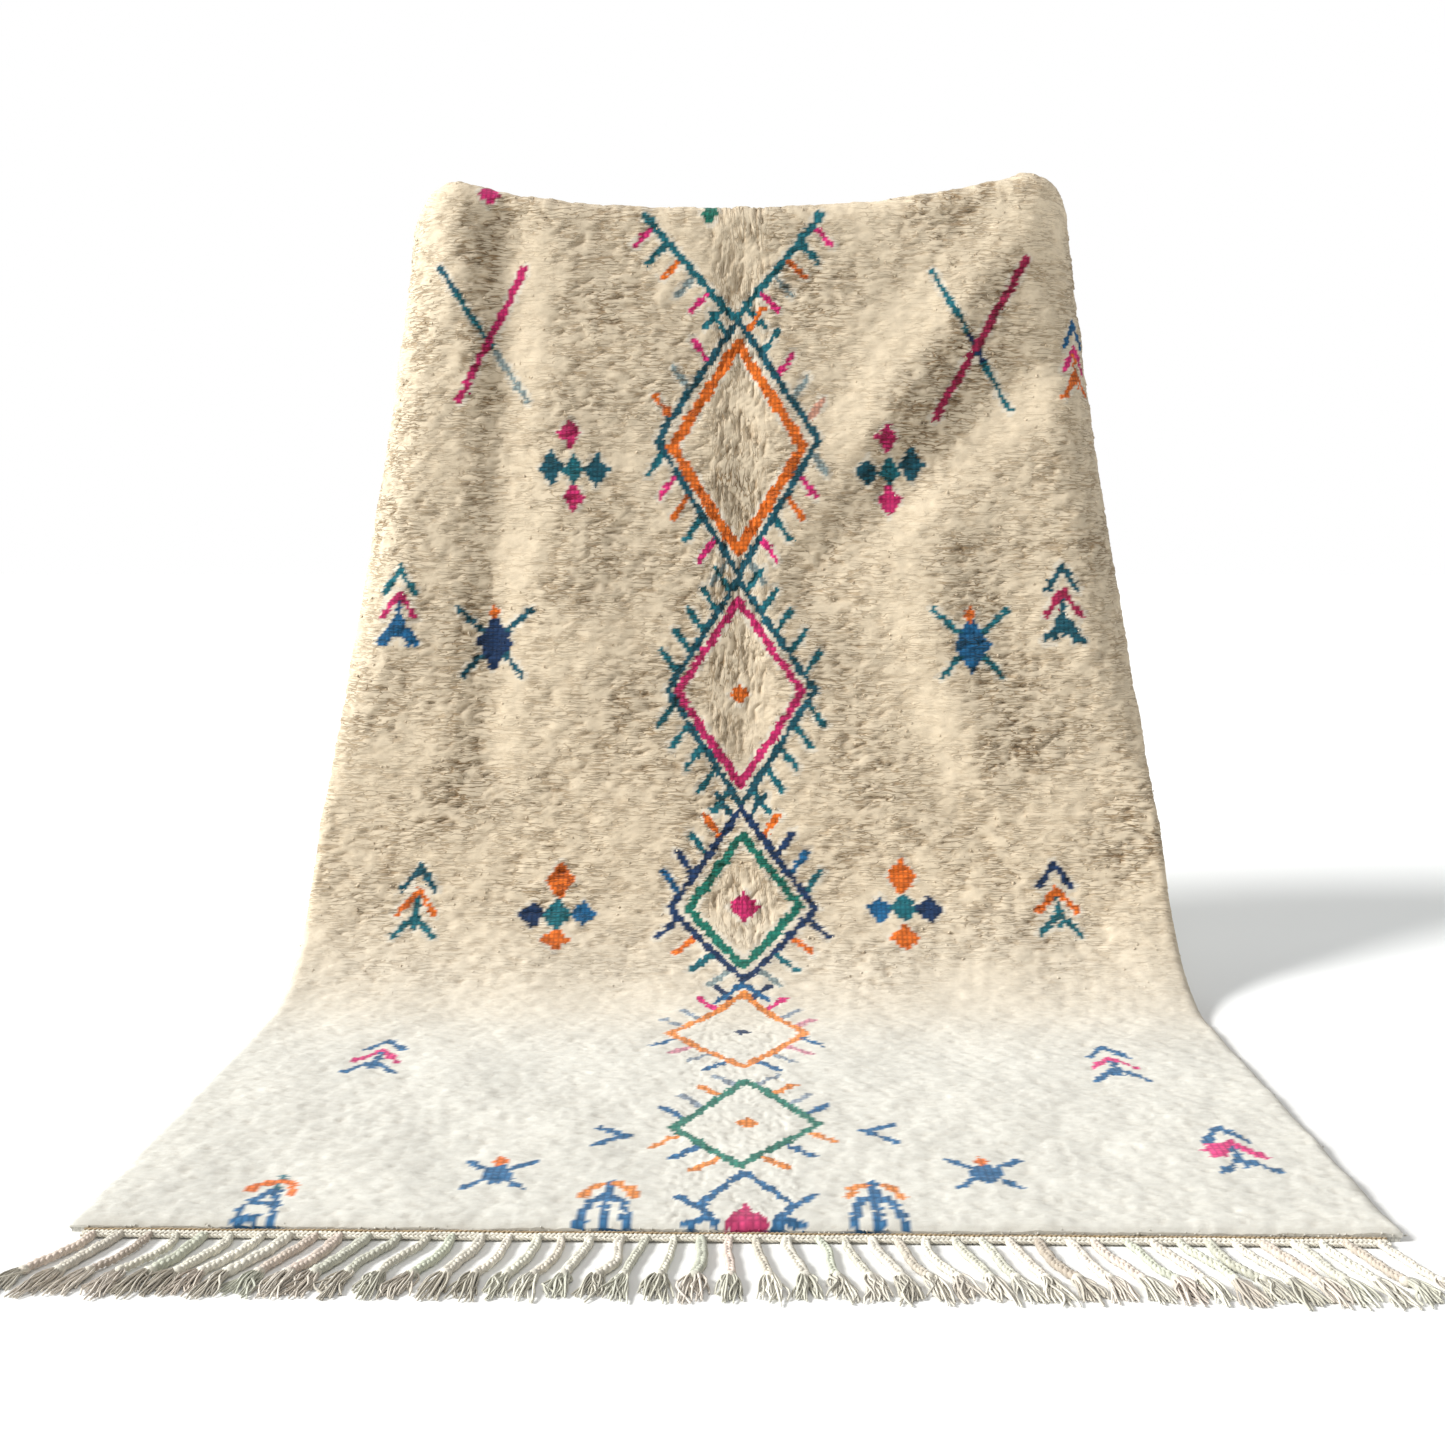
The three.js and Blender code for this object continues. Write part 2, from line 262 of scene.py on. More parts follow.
# Arched figures at the hem
ARCHES = ((-175, 58), (202, 62))


def linear(red, green, blue):
    """A colour as a screen shows it, turned into what the shader needs."""
    shares = np.array([red, green, blue], float) / 255
    low = shares / 12.92
    high = ((shares + 0.055) / 1.055) ** 2.4
    return tuple(float(x) for x in np.where(shares < 0.04, low, high))


# Settings

def colour(name, description, red, green, blue):
    return bpy.props.FloatVectorProperty(
        name=name, description=description, subtype="COLOR", size=3, min=0, max=1,
        default=linear(red, green, blue))


def length(name, description, default, low=0.0001, high=0.5):
    return bpy.props.FloatProperty(
        name=name, description=description, default=default, min=low, max=high,
        subtype="DISTANCE", unit="LENGTH", precision=4)


class RugPileSettings(bpy.types.PropertyGroup):
    """Knots and their wool"""
    knot_across: length("Knot width", "Distance between knots across the rug", 0.010)
    knot_along: length("Knot height", "Distance between rows of knots", 0.0106)
    detail: length("Detail", "Grid of the wool's surface, along the rug", 0.0035)
    girth: length("Tuft radius", "Half the thickness of one loose tuft", 0.0042)
    droop: length("Droop", "How far a loose tuft on a steep part hangs down", 0.007)
    rim_step: length("Rim step", "Distance between tufts round the rim", 0.0036)
    loose: bpy.props.IntProperty(
        name="Loose tufts", description="Tufts scattered over the pile", default=3000, min=1,
        max=20000)
    cream: colour("Cream", "Wool of the part on the floor", 210, 207, 197)
    # Beige is the cream wool painted warmer and a little darker where the rug hangs: painted shade
    beige: colour("Beige", "Wool of the hanging part", 212, 196, 170)
    teal: colour("Teal", "Motif yarn", 0, 106, 118)
    navy: colour("Navy", "Motif yarn", 0, 48, 92)
    blue: colour("Blue", "Motif yarn", 0, 97, 146)
    green: colour("Green", "Motif yarn", 0, 118, 98)
    orange: colour("Orange", "Motif yarn", 234, 112, 20)
    pink: colour("Pink", "Motif yarn", 226, 36, 122)
    crimson: colour("Crimson", "Motif yarn", 176, 22, 78)


class RugFringeSettings(bpy.types.PropertyGroup):
    """Band, braids and tassels"""
    wool: colour("Fringe wool", "Undyed warp yarn", 226, 220, 205)
    shade: colour("Shaded wool", "Greyish green lengths of the braids", 190, 193, 174)
    rosy: colour("Rosy wool", "Pinkish lengths of the tassels", 220, 200, 188)
    # The cord next to the pile is tinted tan as a painted shadow line where the pile meets the band
    binding: colour("Hem_shadow_tan", "The cord next to the pile", 168, 146, 112)
    strand: length("Strand radius", "Half the thickness of a braid's strand", 0.0040)
    yarn: length("Yarn radius", "Half the thickness of a tassel's yarn", 0.0020)
    yarns: bpy.props.IntProperty(
        name="Yarns", description="Loose yarns in one tassel", default=24, min=3, max=60)


class RugStageSettings(bpy.types.PropertyGroup):
    """Floor, lights and camera"""
    floor: colour("Floor", "Plain pale floor", 244, 244, 242)
    key: bpy.props.FloatProperty(
        name="Key light", description="Strength of the soft light from the left",
        default=4.15, min=0, max=10)
    edge: bpy.props.FloatProperty(
        name="Edge light", description="Strength of the cool light along the left edge",
        default=2.2, min=0, max=10)
    top: bpy.props.FloatProperty(
        name="Top light", description="Strength of the soft light from above",
        default=0.7, min=0, max=10)
    fill: bpy.props.FloatProperty(
        name="Fill light", description="Strength of the light from all round",
        default=0.32, min=0, max=3)
    focal: bpy.props.FloatProperty(
        name="Focal length", description="Camera lens", default=38.62, min=1, max=500,
        unit="CAMERA")


# From a point of the flat cloth to its place in the air

def smooth(x, low, high):
    t = np.clip((x - low) / (high - low), 0, 1)
    return t * t * (3 - 2 * t)


def hang_y(z):
    return HEM_Y + FLOOR_RUN + SWEEP * np.arccosh(1 + np.maximum(z, 0) / SWEEP)


def top_at(u):
    """Height of the top edge, which drops round at each corner."""
    aside = np.abs(u)
    rise = TOP_RISE * (np.minimum(aside, CORNER_X) / CORNER_X) ** SAG_POWER
    past = aside - CORNER_START
    turn = CORNER_END - CORNER_START
    bend = np.clip(past / turn, 0, 1) * np.pi / 2
    beyond = np.maximum(past - turn, 0) * CORNER_RADIUS * np.pi / 2 / turn
    return TOP_MIDDLE + rise + TOP_TILT * u / HALF - CORNER_RADIUS * (1 - np.cos(bend)) - beyond


def stages(u):
    """Where the curve ends, its angle there, the flap's angle, and where fold and flap begin."""
    angle = np.full_like(u, np.pi / 2)
    for _ in range(4):
        z = top_at(u) - PILE - CROWN_RADIUS * (1 - np.cos(angle))
        rise = np.sqrt((z + SWEEP) ** 2 - SWEEP ** 2)
        angle = np.arctan(rise / SWEEP)
    share = smooth(np.abs(u), 0, FLAP_LEAN)
    flap_angle = -np.pi / 2 * (1 - share) + (angle - np.pi) * share
    crown = FLOOR_RUN + rise
    return rise, angle, flap_angle, crown, crown + CROWN_RADIUS * (angle - flap_angle)


def profile(u, s):
    """Depth, height and slope of the back of the cloth."""
    rise_top, angle_top, flap_angle, crown, flap = stages(u)
    rise = np.clip(s - FLOOR_RUN, 0, rise_top)
    y = HEM_Y + np.minimum(s, FLOOR_RUN) + SWEEP * np.arcsinh(rise / SWEEP)
    z = np.sqrt(SWEEP ** 2 + rise ** 2) - SWEEP
    angle = np.arctan(rise / SWEEP)
    turned = angle_top - np.clip((s - crown) / CROWN_RADIUS, 0, angle_top - flap_angle)
    over = s > crown
    y = np.where(over, y + CROWN_RADIUS * (np.sin(angle_top) - np.sin(turned)), y)
    z = np.where(over, z - CROWN_RADIUS * (np.cos(angle_top) - np.cos(turned)), z)
    angle = np.where(over, turned, angle)
    down = np.maximum(s - flap, 0)
    return y + down * np.cos(angle), z + down * np.sin(angle), angle


def fold_out(x, z):
    out = np.zeros_like(x)
    for x1, z1, x2, z2, reach, depth in FOLDS:
        rx, rz = x2 - x1, z2 - z1
        run = np.hypot(rx, rz)
        along = ((x - x1) * rx + (z - z1) * rz) / run
        aside = ((x - x1) * rz - (z - z1) * rx) / run
        past = np.maximum(np.maximum(-along, along - run), 0)
        out += depth * np.exp(-(aside ** 2 + past ** 2) / reach ** 2)
    return out


def place(u, s, h):
    """A point u across and s along the flat cloth, h above its back, in the air."""
    u, s, h = np.broadcast_arrays(*(np.asarray(a, float) for a in (u, s, h)))
    y, z, angle = profile(u, s)
    y = y - h * np.sin(angle)
    z = z + h * np.cos(angle)
    share = np.maximum(z - TURN_START, 0) / (TURN_FULL - TURN_START)
    flat = HALF - TURN_RADIUS * TURN_ANGLE * np.sqrt(share)
    side = np.abs(u) > flat
    face = hang_y(z) - PILE
    radius = TURN_RADIUS - (y - face)
    bend = (np.abs(u) - flat) / TURN_RADIUS
    x = np.where(side, np.sign(u) * (flat + radius * np.sin(bend)), u)
    y = np.where(side, face + TURN_RADIUS - radius * np.cos(bend), y)
    return np.stack([x, y - fold_out(x, z), z], -1)


def scatter(value):
    """An even spread of numbers from 0 to 1, always the same for the same value."""
    return np.mod(np.sin(value) * 43758.5453, 1)


def waves(u, s, seed, size):
    """A smooth random field between about -1 and 1, with features of the given size."""
    random = np.random.default_rng(seed)
    total = np.zeros(np.broadcast(u, s).shape)
    for _ in range(9):
        turn = random.uniform(0, 2 * np.pi)
        pace = 2 * np.pi / (size * random.uniform(0.7, 1.6))
        total += np.sin(pace * (u * np.cos(turn) + s * np.sin(turn)) + random.uniform(0, 6.28))
    return total / 3


# Which yarn each knot has

YARN_NAMES = (
    "ground", "teal", "deep_teal", "navy", "blue", "green", "orange", "pink", "magenta",
    "crimson", "amber", "pale_teal", "pale_blue", "pale_orange", "pale_pink",
)


def yarn_colours(settings):
    """The colour of each yarn. Pale yarns are the same dye in a weaker bath."""
    made = {name: np.array(getattr(settings, name))
            for name in ("teal", "navy", "blue", "green", "orange", "pink", "crimson")}
    cream = np.array(settings.cream)
    made["deep_teal"] = 0.55 * made["teal"] + 0.25 * made["navy"]
    made["magenta"] = 0.5 * made["pink"] + 0.5 * made["crimson"]
    made["amber"] = made["orange"] + np.array([0.0, 0.09, 0.03])
    for name in ("teal", "blue", "orange", "pink"):
        made["pale_" + name] = 0.52 * made[name] + 0.42 * cream
    made["ground"] = cream
    return np.array([made[name] for name in YARN_NAMES])


def off_line(u, s, start, end):
    """Distance from each knot to a straight line between two points."""
    run = np.subtract(end, start)
    share = np.clip(((u - start[0]) * run[0] + (s - start[1]) * run[1]) / (run @ run), 0, 1)
    return np.hypot(u - start[0] - share * run[0], s - start[1] - share * run[1])


class Chart:
    """The motifs, knot by knot. Later strokes lie over earlier ones."""

    def __init__(self, across, along, margin=0.8):
        self.u, self.s, self.margin = across * 1000, along * 1000, margin
        self.yarn = np.zeros(across.shape, int)

    def line(self, yarn, width, *points):
        for start, end in zip(points, points[1:]):
            near = off_line(self.u, self.s, start, end) < width / 2 + self.margin
            self.yarn[near] = YARN_NAMES.index(yarn)

    def diamond(self, yarn, middle, half_width, half_height):
        inside = (np.abs(self.u - middle[0]) / (half_width + self.margin)
                  + np.abs(self.s - middle[1]) / (half_height + self.margin))
        self.yarn[inside < 1.12] = YARN_NAMES.index(yarn)

    def whiskers(self, start, end, way, yarns):
        yarns = yarns.split()
        start, end, way = (np.array(p, float) for p in (start, end, way))
        for k, yarn in enumerate(yarns):
            foot = start + (end - start) * (k + 0.55) / (len(yarns) + 0.3) + 0.16 * way
            self.line(yarn, 11.5, foot, foot + 1.12 * way)

    def beetle(self, body, legs, middle, size):
        """A filled lozenge with four legs and a small tip above."""
        u, s = middle
        for side in (-1, 1):
            self.line(legs, 11, (u + side * 16 * size, s + 18 * size),
                      (u + side * 82 * size, s + 78 * size))
            self.line(legs, 11, (u + side * 14 * size, s - 14 * size),
                      (u + side * 66 * size, s - 74 * size))
        self.diamond(body, middle, 36 * size, 60 * size)
        self.diamond("orange", (u - 2, s + 68 * size), 12, 18)

    def tree(self, first, second, third, middle, foot):
        """Three arrows in a column on one stem."""
        u, s = middle
        top = s + 86
        self.line(third, 9, (u, top - 60), (u, top - 150))
        for k, yarn in enumerate((first, second, third)):
            apex = (u, top - 58 * k)
            for side in (-1, 1):
                self.line(yarn, 12, apex, (u + side * (34 + 4 * k), apex[1] - 56))
        if foot:
            self.diamond(third, (u, top - 132), 18, 26)
            for side in (-1, 1):
                self.line(third, 10, (u + side * 10, top - 138), (u + side * 24, top - 172))

    def arch(self, middle):
        """A stem with three spreading legs and an arc on either side."""
        u, s = middle
        self.line("blue", 12, (u, s + 70), (u, s - 60))
        for side in (-1, 1):
            self.line("amber", 13, (u + side * 10, s + 64), (u + side * 28, s + 52),
                      (u + side * 36, s + 22))
            self.line("blue", 12, (u, s + 30), (u + side * 24, s + 4), (u + side * 34, s - 60))

    def draw(self):
        for start, end, way, yarns in WHISKERS:
            self.whiskers(start, end, way, yarns)
        for yarn, width, top, left, right, bottom in CHAIN:
            self.line(yarn, width, top, left, bottom, right, top)
        for yarn, width, *points in LINES:
            self.line(yarn, width, *points)
        for yarn, middle, half_width, half_height in DIAMONDS:
            self.diamond(yarn, middle, half_width, half_height)
        for row in BEETLES:
            self.beetle(*row)
        for row in TREES:
            self.tree(*row)
        for middle in ARCHES:
            self.arch(middle)
        return self.yarn


def knot_colours(across, along, settings):
    """The colour of the knot that each point lies in: its yarn, how evenly that took the dye, and
    painted shade on the hanging part and along its folds.
    """
    warped_u = across + 0.0016 * waves(across, along, 61, 0.014)
    warped_s = along + 0.0016 * waves(across, along, 62, 0.014)
    row = np.floor(warped_s / settings.knot_along)
    column = np.floor(warped_u / settings.knot_across + 0.25 * (2 * np.mod(row, 2) - 1))
    number = scatter(column * 12.9898 + row * 78.233)
    other = np.mod(number * 977.3 + 0.37 * row, 1)
    knot_u = (column + 0.5 - 0.25 * (2 * np.mod(row, 2) - 1)) * settings.knot_across
    knot_s = (row + 0.5) * settings.knot_along
    knot = (0.6 * knot_u + 0.4 * warped_u + 0.003 * (number - 0.5),
            0.6 * knot_s + 0.4 * warped_s + 0.003 * (other - 0.5))
    yarn = Chart(*knot).draw()
    beside = (Chart(*knot, margin=8).draw() > 0) * 0.45
    colours = yarn_colours(settings)[yarn]
    # Painted shade: the ground turns from cream to the warmer beige where the rug hangs, away from the
    # light from above
    hanging = (smooth(along, 0.62, 1.35) * (1 - beside))[:, None]
    ground = np.array(settings.cream) * (1 - hanging) + np.array(settings.beige) * hanging
    dyed = yarn > 0
    colours = np.where(dyed[:, None], colours, ground)
    tone = 1 + 0.045 * waves(across, along, 3, 0.30) + 0.035 * waves(across, along, 4, 0.05)
    tone = tone + np.where(dyed, 0.42, 0.05) * (number - 0.5) + 0.05 * beside
    # Painted shade: darker where the wool ruffles and where the big folds turn away from the light on
    # the left
    tone = tone - 0.16 * (ruffled(across, along) - 0.55) * smooth(along, 0.9, 1.4)
    faded = np.where(dyed, 0.02 + 0.05 * (1 - smooth(along, 0.6, 1.3)), 0)[:, None]
    colours = colours * (1 - faded) + np.array(settings.cream) * faded
    return np.clip(colours * tone[:, None], 0, 1), dyed


# Meshes and geometry node trees

def mesh_object(name, points, faces=(), edges=()):
    mesh = bpy.data.meshes.new(name)
    mesh.from_pydata(np.asarray(points).tolist(), list(edges), list(faces))
    made = bpy.data.objects.new(name, mesh)
    bpy.context.collection.objects.link(made)
    return made


def store(obj, name, kind, values, domain="POINT"):
    """Writes one named value for each point, face or corner."""
    values = np.asarray(values, float)
    if kind == "FLOAT_COLOR":
        values = np.concatenate([values, np.ones((len(values), 1))], 1)
    field = {"FLOAT": "value", "FLOAT_VECTOR": "vector", "FLOAT_COLOR": "color",
             "FLOAT2": "vector"}[kind]
    made = obj.data.attributes.new(name, kind, domain)
    made.data.foreach_set(field, values.ravel())


class Tree:
    """A geometry node tree with named inputs."""

    def __init__(self, name, **inputs):
        self.group = bpy.data.node_groups.new(name, "GeometryNodeTree")
        face = self.group.interface
        face.new_socket("Geometry", in_out="INPUT", socket_type="NodeSocketGeometry")
        self.ids = {}
        for label, default in inputs.items():
            kind = {int: "NodeSocketInt", float: "NodeSocketFloat"}.get(
                type(default), "NodeSocketMaterial")
            socket = face.new_socket(label, in_out="INPUT", socket_type=kind)
            if default is not None:
                socket.default_value = default
            self.ids[label] = socket.identifier
        face.new_socket("Geometry", in_out="OUTPUT", socket_type="NodeSocketGeometry")
        self.source = self.group.nodes.new("NodeGroupInput")

    def given(self, label):
        return self.source.outputs[label]

    def add(self, kind, *values, **settings):
        """A node with its settings, and its inputs in order: sockets, values or None."""
        made = self.group.nodes.new(kind)
        for key, value in settings.items():
            setattr(made, key, value)
        sockets = [s for s in made.inputs if s.enabled]
        for socket, value in zip(sockets, values):
            if isinstance(value, bpy.types.NodeSocket):
                self.group.links.new(value, socket)
            elif value is not None:
                socket.default_value = value
        return [s for s in made.outputs if s.enabled]

    def math(self, operation, a, b=0.0):
        return self.add("ShaderNodeMath", a, b, operation=operation)[0]

    def named(self, label, kind):
        return self.add("GeometryNodeInputNamedAttribute", label, data_type=kind)[0]

    def write(self, geometry, label, value, kind, domain):
        return self.add("GeometryNodeStoreNamedAttribute", geometry, None, label, value,
                        data_type=kind, domain=domain)[0]

    def finish(self, geometry):
        whole = self.add("GeometryNodeRealizeInstances", geometry)[0]
        dressed = self.add("GeometryNodeSetMaterial", whole, None, self.given("Material"))[0]
        end = self.group.nodes.new("NodeGroupOutput")
        self.group.links.new(dressed, end.inputs["Geometry"])


def tuft_tree():
    """A plump, bent, pointed tuft on every knot."""
    tree = Tree("Knotted Tufts", Belly=2.6, Waist=0.7, Bend=0.25, Blunt=1.2,
                Cell=0.005, Material=None)
    cone = tree.add("GeometryNodeMeshCone", 3, 2, 1, 0.0, 1.0, 1.0, fill_type="NGON")[0]
    where = tree.add("GeometryNodeInputPosition")[0]
    x, y, z = tree.add("ShaderNodeSeparateXYZ", where)
    up = tree.add("GeometryNodeInputNormal")[0]
    under = tree.math("LESS_THAN", tree.add("ShaderNodeSeparateXYZ", up)[2], -0.6)
    shrink = tree.math("SUBTRACT", 0.42, tree.math("MULTIPLY", under, 0.36))
    aside = tree.math("MULTIPLY", under, 0.40)
    leaf_x = tree.math("MULTIPLY_ADD", x, shrink)
    leaf_y = tree.math("MULTIPLY_ADD", y, shrink)
    for socket in (leaf_x, leaf_y):
        tree.group.links.new(aside, socket.node.inputs[2])
    leaf = tree.add("ShaderNodeCombineXYZ", leaf_x, leaf_y, 0.0)[0]
    marked = tree.write(cone, "leaf", leaf, "FLOAT_VECTOR", "CORNER")
    # Painted shade: each tuft a little darker towards its root
    lit = tree.math("MULTIPLY_ADD", z, 0.2)
    lit.node.inputs[2].default_value = 0.8
    marked = tree.write(marked, "rise", lit, "FLOAT", "POINT")
    swell = tree.math("MULTIPLY_ADD", z, tree.given("Belly"))
    tree.group.links.new(tree.given("Waist"), swell.node.inputs[2])
    lifted = tree.math("MULTIPLY", tree.math("MULTIPLY", z, tree.math("SUBTRACT", 1.0, z)),
                       tree.given("Blunt"))
    tall = tree.math("ADD", z, lifted)
    bent = tree.math("MULTIPLY", tree.math("MULTIPLY", tall, tall), tree.given("Bend"))
    new_x = tree.math("SUBTRACT", tree.math("MULTIPLY", x, swell), bent)
    shape = tree.add("ShaderNodeCombineXYZ", new_x, tree.math("MULTIPLY", y, swell), tall)[0]
    tuft = tree.add("GeometryNodeSetPosition", marked, None, shape)[0]
    turn = tree.add("FunctionNodeAxesToRotation", tree.named("reach", "FLOAT_VECTOR"),
                    tree.named("spin", "FLOAT_VECTOR"), primary_axis="Z", secondary_axis="X")[0]
    girth = tree.named("girth", "FLOAT")
    size = tree.add("ShaderNodeCombineXYZ", girth, girth, tree.named("long", "FLOAT"))[0]
    pile = tree.add("GeometryNodeInstanceOnPoints", tree.given("Geometry"), None, tuft,
                    None, None, turn, size)[0]
    whole = tree.add("GeometryNodeRealizeInstances", pile)[0]
    spread = tree.add("ShaderNodeVectorMath", tree.named("leaf", "FLOAT_VECTOR"),
                      operation="SCALE")[0]
    tree.group.links.new(tree.given("Cell"), spread.node.inputs["Scale"])
    spot = tree.add("ShaderNodeVectorMath", tree.named("cell", "FLOAT_VECTOR"), spread,
                    operation="ADD")[0]
    tree.finish(tree.write(whole, "OFBake", spot, "FLOAT2", "CORNER"))
    return tree


def yarn_tree():
    """A round yarn along every line, as thick as its points say."""
    tree = Tree("Spun Yarns", Sides=5, Material=None)
    curves = tree.add("GeometryNodeMeshToCurve", tree.given("Geometry"))[0]
    ring = tree.add("GeometryNodeCurvePrimitiveCircle", tree.given("Sides"))[0]
    girth = tree.named("girth", "FLOAT")
    tubes = tree.add("GeometryNodeCurveToMesh", curves, ring, girth, True)[0]
    soft = tree.add("GeometryNodeSetShadeSmooth", tubes)[0]
    tree.finish(soft)
    return tree


def knot_tree():
    """One tied knot on every point."""
    tree = Tree("Tied Knots", Rings=7, Segments=12, Material=None)
    ball = tree.add("GeometryNodeMeshUVSphere", tree.given("Segments"), tree.given("Rings"),
                    1.0)[0]
    where = tree.add("GeometryNodeInputPosition")[0]
    x, y, z = tree.add("ShaderNodeSeparateXYZ", where)
    turn = tree.math("ARCTAN2", x, z)
    wrap = tree.math("SINE", tree.math("ADD", tree.math("MULTIPLY", y, 7.5), turn))
    swell = tree.math("MULTIPLY_ADD", wrap, 0.10)
    swell.node.inputs[2].default_value = 1.0
    moved = tree.add("ShaderNodeVectorMath", where, operation="SCALE")[0]
    tree.group.links.new(swell, moved.node.inputs["Scale"])
    knot = tree.add("GeometryNodeSetPosition", ball, None, moved)[0]
    knot = tree.add("GeometryNodeSetShadeSmooth", knot)[0]
    turned = tree.add("FunctionNodeAxesToRotation", tree.named("reach", "FLOAT_VECTOR"),
                      (0.0, 0.0, 1.0), primary_axis="Y", secondary_axis="Z")[0]
    size = tree.named("size", "FLOAT_VECTOR")
    tree.finish(tree.add("GeometryNodeInstanceOnPoints", tree.given("Geometry"), None, knot,
                         None, None, turned, size)[0])
    return tree


def grow(source, tree, name, **inputs):
    """Runs a tree on an object and keeps the result as a plain mesh of its own."""
    modifier = source.modifiers.new(name, "NODES")
    modifier.node_group = tree.group
    for label, value in inputs.items():
        modifier[tree.ids[label]] = value
    graph = bpy.context.evaluated_depsgraph_get()
    mesh = bpy.data.meshes.new_from_object(
        source.evaluated_get(graph), preserve_all_data_layers=True, depsgraph=graph)
    source.modifiers.remove(modifier)
    mesh.name = name
    made = bpy.data.objects.new(name, mesh)
    bpy.context.collection.objects.link(made)
    old = source.data
    bpy.data.objects.remove(source)
    bpy.data.meshes.remove(old)
    return made


# Materials

class Shader:
    """A short way to write a node tree."""

    def __init__(self, tree):
        self.tree = tree

    def add(self, kind, *values, **settings):
        made = self.tree.nodes.new(kind)
        for key, value in settings.items():
            setattr(made, key, value)
        for socket, value in zip([s for s in made.inputs if s.enabled], values):
            if isinstance(value, bpy.types.NodeSocket):
                self.tree.links.new(value, socket)
            elif value is not None:
                socket.default_value = value
        return [s for s in made.outputs if s.enabled]

    def math(self, operation, a, b=0.0, clamp=False):
        return self.add("ShaderNodeMath", a, b, operation=operation, use_clamp=clamp)[0]

    def mix(self, share, a, b, blend="MIX"):
        return self.add("ShaderNodeMix", share, a, b, data_type="RGBA", blend_type=blend)[0]


def effect(name, outputs, **inputs):
    """A shader node group with named sockets, made once."""
    group = bpy.data.node_groups.new(name, "ShaderNodeTree")
    for label, (kind, default) in inputs.items():
        socket = group.interface.new_socket(label, in_out="INPUT", socket_type=kind)
        if default is not None:
            socket.default_value = default
    for label, kind in outputs.items():
        group.interface.new_socket(label, in_out="OUTPUT", socket_type=kind)
    shader = Shader(group)
    shader.source = group.nodes.new("NodeGroupInput").outputs
    shader.end = group.nodes.new("NodeGroupOutput").inputs
    return shader


FLOAT, COLOUR, VECTOR = "NodeSocketFloat", "NodeSocketColor", "NodeSocketVector"


def fibre_effect():
    """Fine hairs and small clouds of tone in wool."""
    fx = effect("Wool Fibre", {"Color": COLOUR, "Normal": VECTOR}, Color=(COLOUR, None),
                Hairs=(FLOAT, 1400.0), Clouds=(FLOAT, 60.0), Contrast=(FLOAT, 0.25),
                Relief=(FLOAT, 0.4), Height=(FLOAT, 0.0))
    at = fx.add("ShaderNodeTexCoord")[3]
    hairs = fx.add("ShaderNodeTexNoise", at, fx.source["Hairs"], 3.0, 0.6)[0]
    clouds = fx.add("ShaderNodeTexNoise", at, fx.source["Clouds"], 2.0, 0.5)[0]
    both = fx.math("ADD", fx.math("MULTIPLY", hairs, 0.6), fx.math("MULTIPLY", clouds, 0.4))
    swing = fx.math("MULTIPLY", fx.math("SUBTRACT", both, 0.5), fx.source["Contrast"])
    tone = fx.math("ADD", fx.math("MULTIPLY", swing, 2.0), 1.0)
    shade = fx.add("ShaderNodeVectorMath", fx.source["Color"], operation="SCALE")
    fx.tree.links.new(tone, shade[0].node.inputs["Scale"])
    fx.tree.links.new(shade[0], fx.end["Color"])
    bump = fx.add("ShaderNodeBump", fx.source["Relief"], 0.0006)
    high = fx.math("ADD", hairs, fx.source["Height"])
    fx.tree.links.new(high, bump[0].node.inputs["Height"])
    fx.tree.links.new(bump[0], fx.end["Normal"])
    return fx.tree


def depth_effect():
    """Painted shade: darker and warmer towards the root of each tuft and in the wool's creases, where
    less light gets in.
    """
    fx = effect("Root Shade", {"Color": COLOUR}, Color=(COLOUR, None), Rise=(FLOAT, 1.0),
                Depth=(FLOAT, 0.80))
    deep = fx.math("SUBTRACT", 1.0, fx.source["Rise"], clamp=True)
    deep = fx.math("MULTIPLY", deep, fx.source["Depth"])
    brown = fx.mix(1.0, fx.source["Color"], BROWN_SHADE, blend="MULTIPLY")
    fx.tree.links.new(fx.mix(deep, fx.source["Color"], brown), fx.end["Color"])
    return fx.tree


